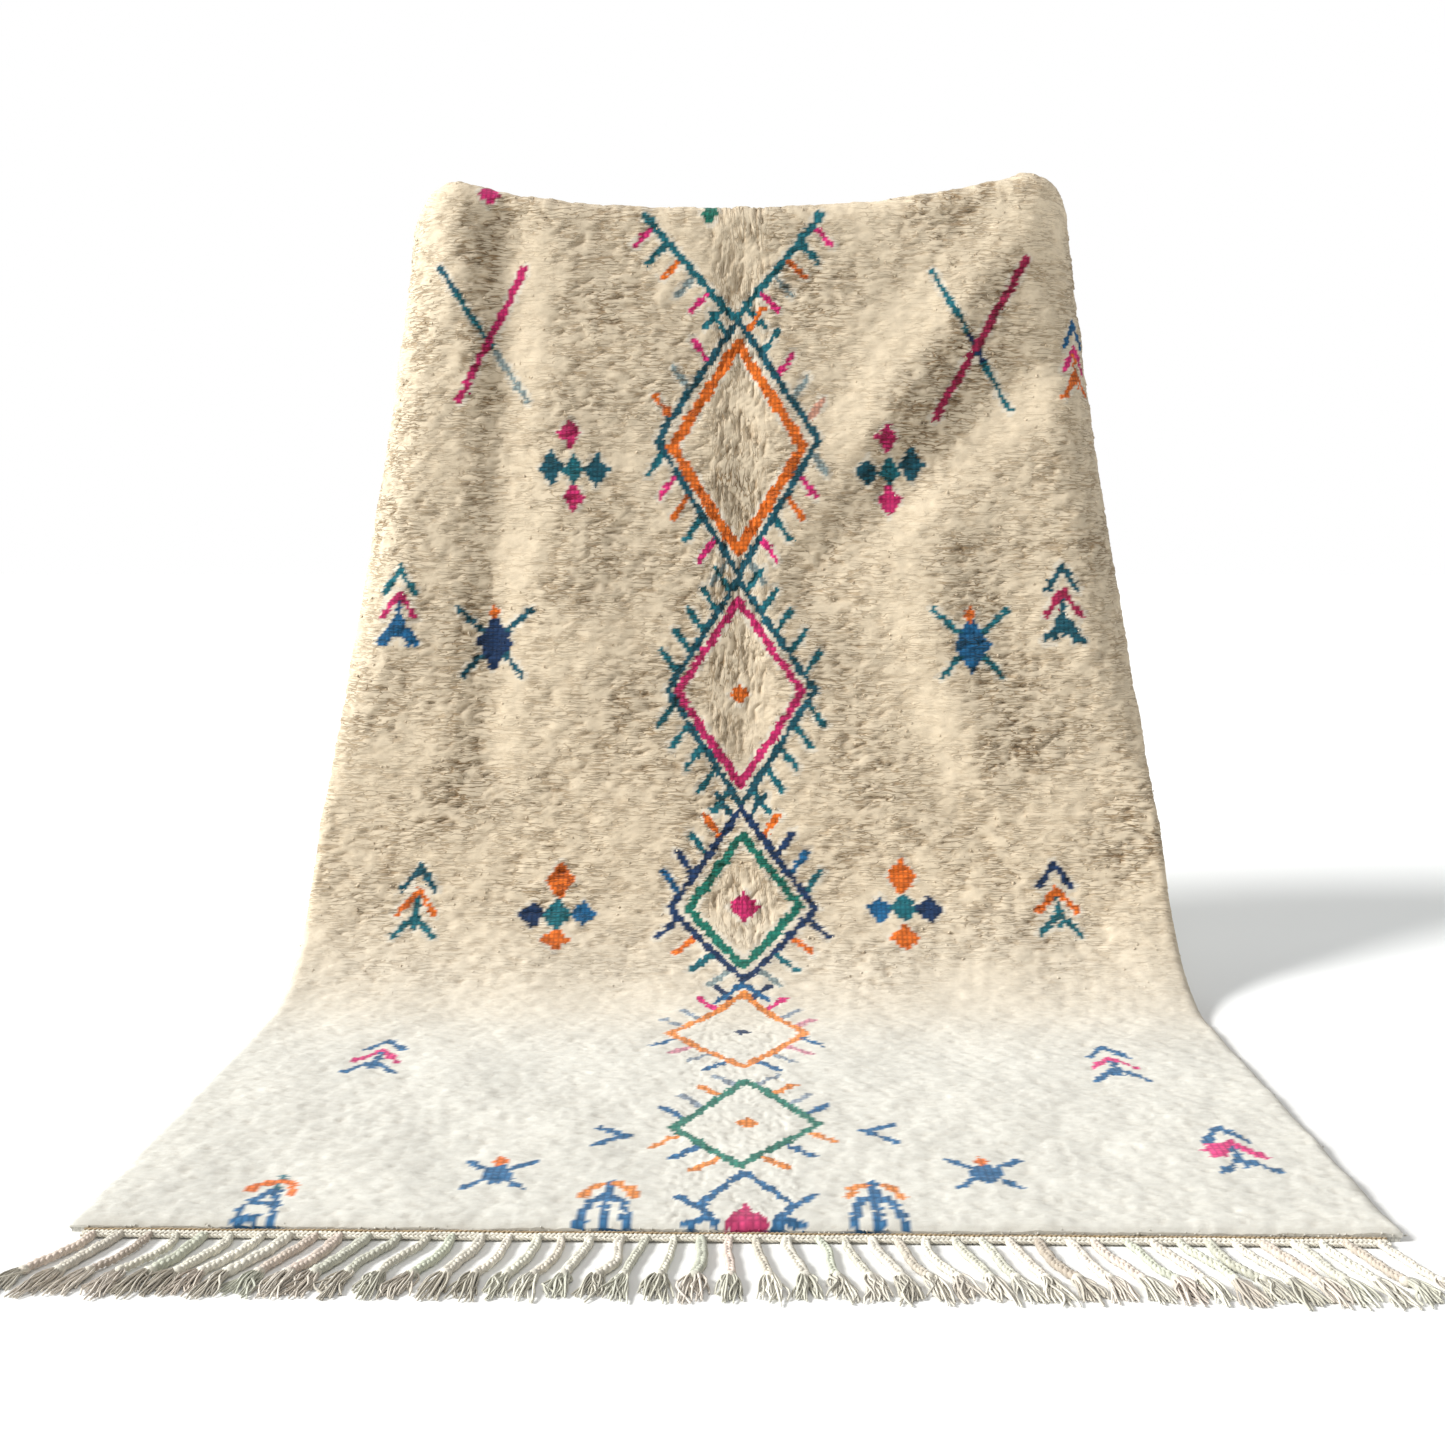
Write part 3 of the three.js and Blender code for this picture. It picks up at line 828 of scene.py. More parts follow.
def ruffle_effect():
    """Thin wavy creases in the wool, painted as shade with a little bump, and painted shade in the
    gaps between dyed knots.
    """
    fx = effect("Ruffled Wool", {"Color": COLOUR, "Height": FLOAT}, Color=(COLOUR, None),
                Flat=(VECTOR, None), Lay=(VECTOR, None), Depth=(FLOAT, 0.82))
    ruffle, upright, dyed = fx.add("ShaderNodeSeparateXYZ", fx.source["Lay"])
    u, s, _ = fx.add("ShaderNodeSeparateXYZ", fx.source["Flat"])
    lines = []
    for wide, tall, turned, width in CREASE_LAYERS:
        spot = fx.add("ShaderNodeCombineXYZ", fx.math("MULTIPLY", u, wide),
                      fx.math("MULTIPLY", s, tall), float(wide))[0]
        cloud = fx.add("ShaderNodeTexNoise", spot, 1.0, 2.0, 0.55)[0]
        off = fx.math("ABSOLUTE", fx.math("SUBTRACT", cloud, 0.5))
        line = fx.math("SUBTRACT", 1.0, fx.math("DIVIDE", off, width), clamp=True)
        share = upright if turned else fx.math("SUBTRACT", 1.0, upright)
        lines.append(fx.math("MULTIPLY", line, share))
    patch = fx.add("ShaderNodeTexNoise", fx.source["Flat"], 21.0, 2.0, 0.5)[0]
    patch = fx.math("MULTIPLY", fx.math("SUBTRACT", patch, 0.33, clamp=True), 4.5, clamp=True)
    both = fx.math("ADD", fx.math("MAXIMUM", lines[0], lines[1]),
                   fx.math("MAXIMUM", lines[2], lines[3]), clamp=True)
    deep = fx.math("MULTIPLY", fx.math("MULTIPLY", both, patch), ruffle)
    gaps = []
    for value, pitch in zip((u, s), GAP_PITCHES):
        turn = fx.math("MULTIPLY", value, 3.14159 / pitch)
        gaps.append(fx.math("ABSOLUTE", fx.math("SINE", turn)))
    gap = fx.math("SUBTRACT", 1.0, fx.math("MULTIPLY", gaps[0], gaps[1]))
    dark = fx.math("MULTIPLY", deep, fx.source["Depth"])
    brown = fx.mix(1.0, fx.source["Color"], BROWN_SHADE, blend="MULTIPLY")
    shaded = fx.mix(dark, fx.source["Color"], brown)
    strong = fx.mix(1.0, shaded, COOL_SHADE, blend="MULTIPLY")
    gap = fx.math("MULTIPLY", fx.math("MULTIPLY", gap, dyed), 0.75)
    fx.tree.links.new(fx.mix(gap, shaded, strong), fx.end["Color"])
    fx.tree.links.new(fx.math("MULTIPLY", deep, -4.0), fx.end["Height"])
    return fx.tree


def knots_effect():
    """The back of the weave: a row of small round knots between ridges of weft."""
    fx = effect("Knotted Back", {"Color": COLOUR, "Normal": VECTOR}, Color=(COLOUR, None),
                Flat=(VECTOR, None), Across=(FLOAT, 0.011), Along=(FLOAT, 0.0115),
                Relief=(FLOAT, 0.8))
    u, s, _ = fx.add("ShaderNodeSeparateXYZ", fx.source["Flat"])
    humps = []
    for value, pitch in ((u, "Across"), (s, "Along")):
        turn = fx.math("DIVIDE", fx.math("MULTIPLY", value, 6.28319), fx.source[pitch])
        humps.append(fx.math("ABSOLUTE", fx.math("SINE", turn)))
    knob = fx.math("MULTIPLY", humps[0], humps[1])
    weft = fx.math("POWER", humps[1], 0.5)
    shade = fx.math("ADD", fx.math("MULTIPLY", knob, 0.25), fx.math("MULTIPLY", weft, 0.25))
    tone = fx.math("ADD", shade, 0.55)
    scaled = fx.add("ShaderNodeVectorMath", fx.source["Color"], operation="SCALE")[0]
    fx.tree.links.new(tone, scaled.node.inputs["Scale"])
    fx.tree.links.new(scaled, fx.end["Color"])
    bump = fx.add("ShaderNodeBump", fx.source["Relief"], 0.0015)[0]
    fx.tree.links.new(knob, bump.node.inputs["Height"])
    fx.tree.links.new(bump, fx.end["Normal"])
    return fx.tree


def group_of(maker):
    """The shared effect, made the first time that it is asked for."""
    names = {"fibre_effect": "Wool Fibre", "depth_effect": "Root Shade",
             "knots_effect": "Knotted Back", "ruffle_effect": "Ruffled Wool"}
    found = bpy.data.node_groups.get(names[maker.__name__])
    return found or maker()


def wool_material(name, sheen, rough, root=False, back=False, creased=False,
                  contrast=0.25, relief=0.4):
    material = bpy.data.materials.new(name)
    material.use_nodes = True
    shader = Shader(material.node_tree)
    body = material.node_tree.nodes["Principled BSDF"]
    colour_now = shader.add("ShaderNodeAttribute", attribute_name="yarn")[0]
    if root:
        rise = shader.add("ShaderNodeAttribute", attribute_name="rise")[2]
        deep = shader.add("ShaderNodeGroup", node_tree=group_of(depth_effect))
        material.node_tree.links.new(colour_now, deep[0].node.inputs["Color"])
        material.node_tree.links.new(rise, deep[0].node.inputs["Rise"])
        colour_now = deep[0]
    if creased:
        ruffles = shader.add("ShaderNodeGroup", node_tree=group_of(ruffle_effect))
        material.node_tree.links.new(colour_now, ruffles[0].node.inputs["Color"])
        for label in ("flat", "lay"):
            given = shader.add("ShaderNodeAttribute", attribute_name=label)[1]
            material.node_tree.links.new(given, ruffles[0].node.inputs[label.capitalize()])
        colour_now = ruffles[0]
    if back:
        flat = shader.add("ShaderNodeAttribute", attribute_name="flat")[1]
        knots = shader.add("ShaderNodeGroup", node_tree=group_of(knots_effect))
        material.node_tree.links.new(colour_now, knots[0].node.inputs["Color"])
        material.node_tree.links.new(flat, knots[0].node.inputs["Flat"])
        colour_now = knots[0]
    fibre = shader.add("ShaderNodeGroup", node_tree=group_of(fibre_effect))
    inputs = fibre[0].node.inputs
    inputs["Contrast"].default_value = contrast
    inputs["Relief"].default_value = relief
    material.node_tree.links.new(colour_now, inputs["Color"])
    if creased:
        material.node_tree.links.new(ruffles[1], inputs["Height"])
    material.node_tree.links.new(fibre[0], body.inputs["Base Color"])
    material.node_tree.links.new(fibre[1] if not back else knots[1], body.inputs["Normal"])
    body.inputs["Roughness"].default_value = rough
    body.inputs["Sheen Weight"].default_value = sheen
    body.inputs["Sheen Roughness"].default_value = 0.55
    body.inputs["Specular IOR Level"].default_value = 0.2
    return material


# The ground weave

def slab(name, us, ss, high, low, fine_up=True):
    """A closed slab of the rug. One side is fine, the hidden side four times coarser."""
    wide, tall = len(us), len(ss)
    u, s = (a.ravel() for a in np.meshgrid(us, ss))
    cu, cs = (a.ravel() for a in np.meshgrid(us[::COARSE], ss[::COARSE]))
    shift = sag(u, s, high)
    points = np.concatenate([place(u, s + shift, high), place(cu, cs, low)])
    count, coarse_wide = len(u), len(us[::COARSE])
    i, j = (a.ravel() for a in np.meshgrid(np.arange(wide - 1), np.arange(tall - 1)))
    corner = j * wide + i
    fine = np.stack([corner, corner + 1, corner + wide + 1, corner + wide], 1)
    i, j = (a.ravel() for a in np.meshgrid(np.arange(coarse_wide - 1),
                                           np.arange(len(ss[::COARSE]) - 1)))
    corner = count + j * coarse_wide + i
    coarse = np.stack([corner + coarse_wide, corner + coarse_wide + 1, corner + 1, corner], 1)
    walls = []
    rows, columns = (tall - 1) // COARSE, (wide - 1) // COARSE
    for k in range(columns):
        for j, out in ((0, 1), (rows, -1)):
            low_edge = [count + j * coarse_wide + k, count + j * coarse_wide + k + 1]
            top_edge = [j * COARSE * wide + COARSE * k + n for n in range(COARSE, -1, -1)]
            walls.append((low_edge + top_edge)[::out])
    for k in range(rows):
        for i, out in ((columns, 1), (0, -1)):
            low_edge = [count + k * coarse_wide + i, count + (k + 1) * coarse_wide + i]
            top_edge = [(COARSE * k + n) * wide + COARSE * i for n in range(COARSE, -1, -1)]
            walls.append((low_edge + top_edge)[::out])
    faces = fine.tolist() + coarse.tolist() + walls
    if not fine_up:
        faces = [face[::-1] for face in faces]
    made = mesh_object(name, points, faces)
    flat = np.concatenate([np.stack([u, s], 1), np.stack([cu, cs], 1)])
    hidden = len(coarse) + len(walls)
    made.data.attributes.new("sharp_face", "BOOLEAN", "FACE")
    made.data.attributes["sharp_face"].data.foreach_set(
        "value", np.repeat([False, True], [len(fine), hidden]))
    lay_out(made, flat, len(fine) * 4, len(coarse) * 4)
    return made, flat


def lay_out(obj, flat, fine_corners, coarse_corners):
    """The piece's own map: its fine side over most of it, the hidden side in a strip."""
    corners = np.zeros(len(obj.data.loops), int)
    obj.data.loops.foreach_get("vertex_index", corners)
    low, high = flat.min(0), flat.max(0)
    spot = (flat[corners] - low) / (high - low)
    spot[:, 1] = 0.004 + 0.88 * spot[:, 1]
    end = fine_corners + coarse_corners
    spot[fine_corners:end, 1] = 0.90 + 0.08 * (spot[fine_corners:end, 1] - 0.004) / 0.88
    spot[end:, 1] = 0.99 + 0.005 * (corners[end:] % 2)
    spot[:, 0] = 0.003 + 0.994 * spot[:, 0]
    made = obj.data.uv_layers.new(name="OFBake")
    made.data.foreach_set("uv", spot.astype(np.float32).ravel())


def sag(u, s, high):
    """How far wool that stands high slips down along the cloth where it is steep."""
    _, _, angle = profile(u, s)
    return -SAG_SHARE * np.maximum(high - GROUND_DEPTH, 0) * np.sin(angle)


def build_ground(settings):
    """The woven ground as one closed sheet, with the knots' colours on its back."""
    us = np.linspace(-HALF + 0.003, HALF - 0.003, 164 + 1)
    ss = np.linspace(0.001, FLAT_LENGTH - 0.001, 276 + 1)
    count = len(us) * len(ss)
    made, flat = slab("ground_weave", us, ss, np.zeros(count), GROUND_DEPTH, fine_up=False)
    colours, _ = knot_colours(flat[:, 0], flat[:, 1], settings)
    store(made, "yarn", "FLOAT_COLOR", colours)
    store(made, "flat", "FLOAT_VECTOR", np.column_stack([flat, np.zeros(len(flat))]))
    made.data.materials.append(
        wool_material("Knotted Ground", 0.15, 0.95, back=True, contrast=0.3))
    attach(made, "root")
    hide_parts("rug_body")
    return made


# The pile

def creases(along, across, spacing, run, seed):
    """Short wavy creases: how deep each point lies in one, and in its soft valley, 0 to 1."""
    gone = across + 0.55 * spacing * waves(along, across, seed, 2.2 * run)
    gone = gone + 0.0016 * waves(along, across, seed + 50, 0.022)
    line = np.floor(gone / spacing)
    first, second, third = (scatter(line * factor + seed) for factor in (12.9, 78.2, 37.7))
    wander = 0.45 * (first - 0.5) + 0.16 * np.sin(2 * np.pi * (along / (1.7 * run) + third))
    off = gone - (line + 0.5 + wander) * spacing
    gate = (np.sin(2 * np.pi * (along / (1.9 * run) + second))
            + 0.8 * np.sin(2 * np.pi * (along / (1.13 * run) + third))
            + 0.6 * np.sin(2 * np.pi * (along / (0.61 * run) + first)))
    opening = smooth(gate, -0.15, 1.3)
    return np.array([np.exp(-(off / CREASE_WIDTH) ** 2), np.exp(-(off / VALLEY_WIDTH) ** 2)]) * opening


def fold_slope(u, s):
    """How much the big folds turn the cloth away from the left."""
    where = place(u, s, PILE)
    step = 0.03
    x, z = where[..., 0], where[..., 2]
    return -(fold_out(x + step, z) - fold_out(x - step, z)) / (2 * step)


def ruffled(u, s):
    """Where the wool ruffles most, and painted shade where the big folds turn away from the light on
    the left, from 0 to about 1.3.
    """
    slope = fold_slope(u, s) * smooth(s, 1.0, 1.5) * (1 - smooth(s, 2.72, 2.90))
    return np.clip(0.62 + 0.27 * waves(u, s, 41, 0.26) + 2.6 * slope, 0.08, 1.3)


def upright_share(u, s):
    """Where the creases run upright: along the middle and within two of the lozenges."""
    hang = smooth(s, 0.78, 1.12)
    spine = (1 - smooth(np.abs(u + 0.003), 0.040, 0.085)) * smooth(s, 1.45, 1.72)
    heart = 1 - smooth(np.hypot(u - 0.012, (s - 1.235) / 1.4), 0.05, 0.09)
    lower = 0.4 * (1 - smooth(np.hypot(u - 0.02, (s - 0.36) / 1.5), 0.04, 0.08))
    return np.maximum(np.maximum(spine, heart), lower) * (0.5 + 0.5 * hang)


def crease_field(u, s):
    """Creases run level on the hanging part, upright along the middle, and fine on the floor."""
    hang = smooth(s, 0.78, 1.25)
    upright = upright_share(u, s)
    level = (creases(u, s, 0.0205, 0.062, 101) + 0.9 * creases(u, s, 0.031, 0.040, 102)
             + 0.5 * creases(u + 0.4 * s, s - 0.4 * u, 0.034, 0.030, 109))
    tall = (creases(s, u, 0.0170, 0.095, 104) + 0.9 * creases(s, u, 0.024, 0.060, 105))
    fine = (0.16 * creases(u, s, 0.020, 0.026, 106) + 0.12 * creases(s, u, 0.026, 0.022, 107)
            + 0.12 * creases(u + 0.6 * s, s - 0.6 * u, 0.023, 0.026, 108))
    fine[1] *= 2.4
    field = 0.75 * level * ruffled(u, s) * hang + fine * (1 - hang)
    return np.clip(field * (1 - upright) + 0.8 * upright * tall, 0, 1.1)


def pile_height(u, s, field):
    """Height of the wool's soft surface over the back of the cloth."""
    grain = scatter(u * 9173.1 + s * 5791.3) - 0.5
    lively = 0.35 + 0.65 * smooth(s, 0.8, 1.3)
    soft = 0.0011 * waves(u, s, 47, 0.11) + 0.0009 * lively * waves(u, s, 48, 0.035)
    fluff = (0.0005 * waves(u, s, 49, 0.010) + 0.0006 * grain) * lively
    rim = np.minimum(np.minimum(s, FLAT_LENGTH - s), HALF - np.abs(u))
    rim_drop = RIM_DROP * (1 - np.sqrt(np.clip(rim / RIM_REACH, 0, 1)))
    return PILE + soft + fluff - CREASE_DEPTH * field[0] - VALLEY_DEPTH * field[1] - rim_drop


def columns_of(settings):
    """Places across the rug: closer together along the middle, where creases run upright."""
    spine = COARSE * int(2 * SPINE / settings.detail / COARSE + 1)
    side = COARSE * int((HALF - SPINE) / (1.85 * settings.detail) / COARSE + 1)
    return np.concatenate([np.linspace(-HALF, -SPINE, side + 1)[:-1],
                           np.linspace(-SPINE, SPINE, spine + 1),
                           np.linspace(SPINE, HALF, side + 1)[1:]])


def pile_top(u, s):
    """The wool's surface over a point of the flat cloth."""
    high = pile_height(u, s, crease_field(u, s))
    return place(u, s + sag(u, s, high), high)


def match_seams(piece, us, ss, step):
    """Turns the wool's surface alike on both sides of the lines where two lengths meet."""
    ways = []
    for s in (ss[0], ss[-1]):
        line = pile_top(us, np.full(us.shape, s))
        along = (pile_top(us, np.full(us.shape, min(s + step, FLAT_LENGTH)))
                 - pile_top(us, np.full(us.shape, max(s - step, 0.0))))
        way = np.cross(np.gradient(line, axis=0), along)
        ways.append(way / np.linalg.norm(way, axis=1)[:, None])
    corners = np.zeros((len(ss) - 1, len(us) - 1, 4, 3))
    if ss[0] > 0:
        corners[0, :, 0], corners[0, :, 1] = ways[0][:-1], ways[0][1:]
    if ss[-1] < FLAT_LENGTH:
        corners[-1, :, 2], corners[-1, :, 3] = ways[1][1:], ways[1][:-1]
    normals = np.zeros((len(piece.data.loops), 3))
    normals[:corners.size // 3] = corners.reshape(-1, 3)
    piece.data.normals_split_custom_set(normals.tolist())


def build_pile(settings):
    """The wool's soft mass, in four lengths of the rug, and the loose tufts on it."""
    wool = wool_material("Cut Pile", 0.10, 0.95, root=True, creased=True, contrast=0.34,
                         relief=0.8)
    us = columns_of(settings)
    made = []
    for name, start, stop in BANDS:
        rows = COARSE * int((stop - start) / settings.detail / COARSE + 1)
        ss = np.linspace(start, stop, rows + 1)
        u, s = (a.ravel() for a in np.meshgrid(us, ss))
        crease = crease_field(u, s)
        piece, flat = slab(name, us, ss, pile_height(u, s, crease), PILE_FOOT)
        # Painted shade: the wool darker and browner in its creases, given as a lower rise to the Root
        # Shade effect
        deep = np.zeros(len(flat))
        deep[:len(u)] = np.minimum(0.62 * crease[0] + 0.14 * crease[1], 1)
        dress(piece, flat, 1 - deep, settings)
        match_seams(piece, us, ss, settings.detail)
        piece.data.materials.append(wool)
        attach(piece, "root")
        made.append(piece)
    made.append(build_tufts(settings, wool))
    return made


def dress(obj, flat, rise, settings):
    """Writes what the wool's material needs to know of each point."""
    u, s = flat[:, 0], flat[:, 1]
    _, _, angle = profile(u, s)
    seen = s - SAG_SHARE * (PILE - GROUND_DEPTH) * np.sin(angle)
    colours, dyed = knot_colours(u, seen, settings)
    hang = smooth(s, 0.85, 1.35)
    # lay: how strong the creases and their painted shade are, where creases run upright, and whether
    # the knot is dyed
    lay = np.column_stack([0.10 + hang * (0.12 + 0.95 * ruffled(u, s)), upright_share(u, s), dyed])
    store(obj, "yarn", "FLOAT_COLOR", colours)
    # rise: how much light reaches each point, for painted shade at tuft roots and in creases
    store(obj, "rise", "FLOAT", rise)
    store(obj, "flat", "FLOAT_VECTOR", np.column_stack([u, seen, 0 * u]))
    store(obj, "lay", "FLOAT_VECTOR", lay)


def build_tufts(settings, wool):
    """Loose tufts: close together round the rim, and scattered over the rest."""
    random = np.random.default_rng(2)
    count = settings.loose
    u = random.uniform(-HALF + 0.02, HALF - 0.02, count)
    s = 1.0 + (FLAT_LENGTH - 1.02) * random.uniform(0, 1, count)
    parts = [(u, s)]
    side = np.arange(RIM_START, FLAT_LENGTH, settings.rim_step)
    front = np.arange(-HALF + RIM_START, HALF, settings.rim_step)
    for inset in RIM_INSETS:
        for sign in (-1, 1):
            parts.append((np.full(side.shape, sign * (HALF - inset)), side))
        parts.append((front, np.full(front.shape, inset)))
        parts.append((front, np.full(front.shape, FLAT_LENGTH - inset)))
    u, s = (np.concatenate([part[k] for part in parts]) for k in (0, 1))
    number = np.arange(len(u))
    rim = number >= count
    u = u + rim * random.uniform(-RIM_WANDER, RIM_WANDER, len(u))
    s = s + rim * random.uniform(-RIM_WANDER, RIM_WANDER, len(u))
    high = pile_height(u, s, crease_field(u, s))
    _, _, angle = profile(u, s)
    steep = np.sin(angle)
    edge = 1 - smooth(HALF - np.abs(u), 0.008, 0.016)
    hem = 1 - smooth(s, 0.008, 0.016)
    end = 1 - smooth(FLAT_LENGTH - s, 0.008, 0.016)
    du = random.normal(0, TUFT_SPREAD, len(u)) * np.where(rim, 0.4, 1.0)
    du = du + np.sign(u) * edge * random.uniform(0.0005, 0.0055, len(u)) * (
        0.3 + 0.7 * smooth(s, 0.9, 1.3))
    ds = random.normal(0, TUFT_SPREAD, len(u)) * np.where(rim, 0.4, 1.0)
    ds = ds - settings.droop * steep * (1 - rim)
    ds = ds + (end - hem) * random.uniform(0.0015, 0.0060, len(u))
    root = place(u, s + sag(u, s, high), high - np.where(rim, RIM_ROOT, LOOSE_ROOT))
    fall = random.uniform(-0.013, -0.003, len(u))
    tip = place(u + du, s + ds + sag(u, s, high), high + np.where(rim, fall, 0.0004))
    tip[:, 2] = np.maximum(tip[:, 2], LOWEST_TIP)
    root[:, 2] = np.maximum(root[:, 2], LOWEST_ROOT)
    way = tip - root
    long = np.linalg.norm(way, axis=1)
    across = int(np.ceil(np.sqrt(len(u))))
    fields = {
        "reach": way / long[:, None], "long": long,
        "spin": random.normal(0, 1, (len(u), 3)) + np.array([0.0, 0.0, 1.2]),
        "girth": (settings.girth * random.uniform(0.8, 1.2, len(u))
                  * np.where(rim, RIM_GIRTH, LOOSE_GIRTH)),
        "cell": np.stack([(number % across + 0.5) / across, (number // across + 0.5) / across,
                          0 * number], 1),
    }
    source = mesh_object("tuft_roots", root)
    dress(source, np.column_stack([u, s]), np.ones(len(u)), settings)
    source.data.attributes.remove(source.data.attributes["rise"])
    for label, values in fields.items():
        store(source, label, "FLOAT" if values.ndim == 1 else "FLOAT_VECTOR", values)
    piece = grow(source, tuft_tree(), "loose_tufts", Material=wool, Cell=1.0 / across)
    for label in ("leaf", *fields):
        found = piece.data.attributes.get(label)
        if found:
            piece.data.attributes.remove(found)
    piece.data.shade_smooth()
    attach(piece, "root")
    return piece


# The fringe

def fringe_places():
    """Root, tip and lean of every braid and the ends of its locks, as in the solid."""
    state = 19

    def draw():
        nonlocal state
        state = (state * 1664525 + 1013904223) % 2 ** 32
        return state / 2 ** 32

    pitch = BAND_LENGTH / BRAIDS
    rows = []
    for i in range(BRAIDS):
        middle = (i + 0.5) * pitch - BAND_LENGTH / 2
        root = middle + ROOT_WANDER * (2 * draw() - 1)
        sway = SIDE_WANDER * np.sin(i / 5.3) * np.cos(i / 2.9)
        outward = (2 * middle / BAND_LENGTH) ** 3
        lean = SPLAY * np.tanh(middle / SPLAY_REACH) + SPLAY_END * outward
        tip = middle + sway + lean + OWN_WANDER * (2 * draw() - 1)
        locks = []
        for k in range(LOCKS):
            side = 2 * k / (LOCKS - 1) - 1
            end = tip + side * FAN + 0.4 * lean + OWN_WANDER * (draw() - 0.5)
            locks.append((end, LOCK_LENGTH * (0.85 + 0.3 * draw())))
        rows.append((root, tip, lean, locks))
    return rows


class Strands:
    """Lines of points with a thickness and a colour each, to be spun into yarns."""

    def __init__(self):
        self.points, self.edges, self.girth, self.yarn = [], [], [], []

    def add(self, points, girth, tint):
        start = sum(len(p) for p in self.points)
        count = len(points)
        self.points.append(np.asarray(points))
        self.edges.extend((start + k, start + k + 1) for k in range(count - 1))
        self.girth.append(np.broadcast_to(girth, (count,)))
        self.yarn.append(np.broadcast_to(tint, (count, 3)))

    def spin(self, name, tree, sides, material):
        source = mesh_object(name + "_lines", np.concatenate(self.points), edges=self.edges)
        store(source, "girth", "FLOAT", np.concatenate(self.girth))
        store(source, "yarn", "FLOAT_COLOR", np.concatenate(self.yarn))
        made = grow(source, tree, name, Sides=sides, Material=material)
        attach(made, "root")
        return made


def tint(settings, shade, rosy, random):
    """Undyed wool, with a little of the greyish and of the rosy yarn in it."""
    wool, grey, pink = (np.array(c) for c in (settings.wool, settings.shade, settings.rosy))
    mixed = wool + shade * (grey - wool) + rosy * (pink - wool)
    return np.clip(mixed * random.uniform(0.84, 1.10), 0, 1)


def build_band(settings):
    """Side by side cords of two twisted yarns, woven along the hem."""
    random = np.random.default_rng(31)
    cords, radius, offset, pitch = 4, 0.0019, 0.0015, 0.013
    strands = Strands()
    steps = int(BAND_LENGTH / pitch * 5)
    x = np.linspace(-BAND_LENGTH / 2, BAND_LENGTH / 2, steps)
    for k in range(cords):
        y = HEM_Y - SEAM - radius - offset - k * (BAND_DEPTH - 2 * radius - 2 * offset) / (cords - 1)
        z = BAND_HEIGHT - radius - offset - 0.0006 * (k % 2) + 0.0004 * np.sin(31 * x + k)
        hand = 1 if k % 2 else -1
        for half in (0, np.pi):
            turn = hand * 2 * np.pi * x / pitch + half + 0.9 * k
            points = np.stack([x, y + offset * np.cos(turn), z + offset * np.sin(turn)], 1)
            # Painted shadow: the cord next to the pile is tinted tan
            wool = (settings.binding if k == 0 else tint(settings, 0.15, 0.1, random))
            strands.add(points, radius, wool)
    wool = fringe_material()
    made = strands.spin("woven_band", yarn_tree(), 4, wool)
    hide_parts("fringe")
    return made


def fringe_material():
    """The fringe's wool, made once and shared."""
    found = bpy.data.materials.get("Spun Fringe")
    return found or wool_material("Spun Fringe", 0.25, 0.85, contrast=0.5, relief=0.6)


def build_braids(settings):
    """Three strands plaited over each other, from the band to the knot."""
    random = np.random.default_rng(32)
    strands = Strands()
    knots, sizes, ways, tints = [], [], [], []
    root_y = HEM_Y - SEAM - BAND_DEPTH + ROOT_DEPTH
    for number, (root, tip, lean, _) in enumerate(fringe_places()):
        share = np.linspace(0, 1, PLAIT_STEPS)
        bow = random.normal(0, BOW) * np.sin(np.pi * share)
        bow = bow + random.normal(0, SECOND_BOW) * np.sin(2 * np.pi * share)
        plump = random.uniform(0.82, 1.22)
        x = root + (tip - root) * share ** 1.3 + bow
        y = root_y - BRAID_LENGTH * share
        slope = np.arctan2(np.gradient(x), -np.gradient(y))
        turns = random.uniform(3.8, 5.6)
        shade, rosy = random.uniform(0, 1) ** 1.3, random.uniform(0, 1) ** 2
        for k in range(3):
            turn = 2 * np.pi * (turns * share + k / 3)
            aside = PLAIT_ASIDE * plump * np.sin(turn) * (0.55 + 0.45 * smooth(share, 0, 0.2))
            lift = PLAIT_LIFT * np.sin(2 * turn)
            thick = settings.strand * plump * (0.9 + 0.16 * np.sin(9 * share + number + 2 * k))
            points = np.stack([x + aside * np.cos(slope), y + aside * np.sin(slope),
                               np.maximum(PLAIT_HEIGHT + lift, thick + FLOOR_GAP)], 1)
            strands.add(points, thick, tint(settings, shade, rosy, random))
        knots.append((tip, root_y - BRAID_LENGTH - KNOT_GAP, PLAIT_HEIGHT))
        sizes.append((KNOT_SIZE[0] * plump, *KNOT_SIZE[1:]))
        ways.append((tip - root, -BRAID_LENGTH, 0.0))
        tints.append(tint(settings, 0.5 * shade, 0.4 * rosy, random))
    wool = fringe_material()
    braids = strands.spin("braids", yarn_tree(), 5, wool)
    source = mesh_object("knot_points", knots)
    store(source, "size", "FLOAT_VECTOR", sizes)
    store(source, "reach", "FLOAT_VECTOR", ways)
    store(source, "yarn", "FLOAT_COLOR", tints)
    tied = grow(source, knot_tree(), "tied_knots", Material=wool)
    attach(tied, "root")
    return [braids, tied]


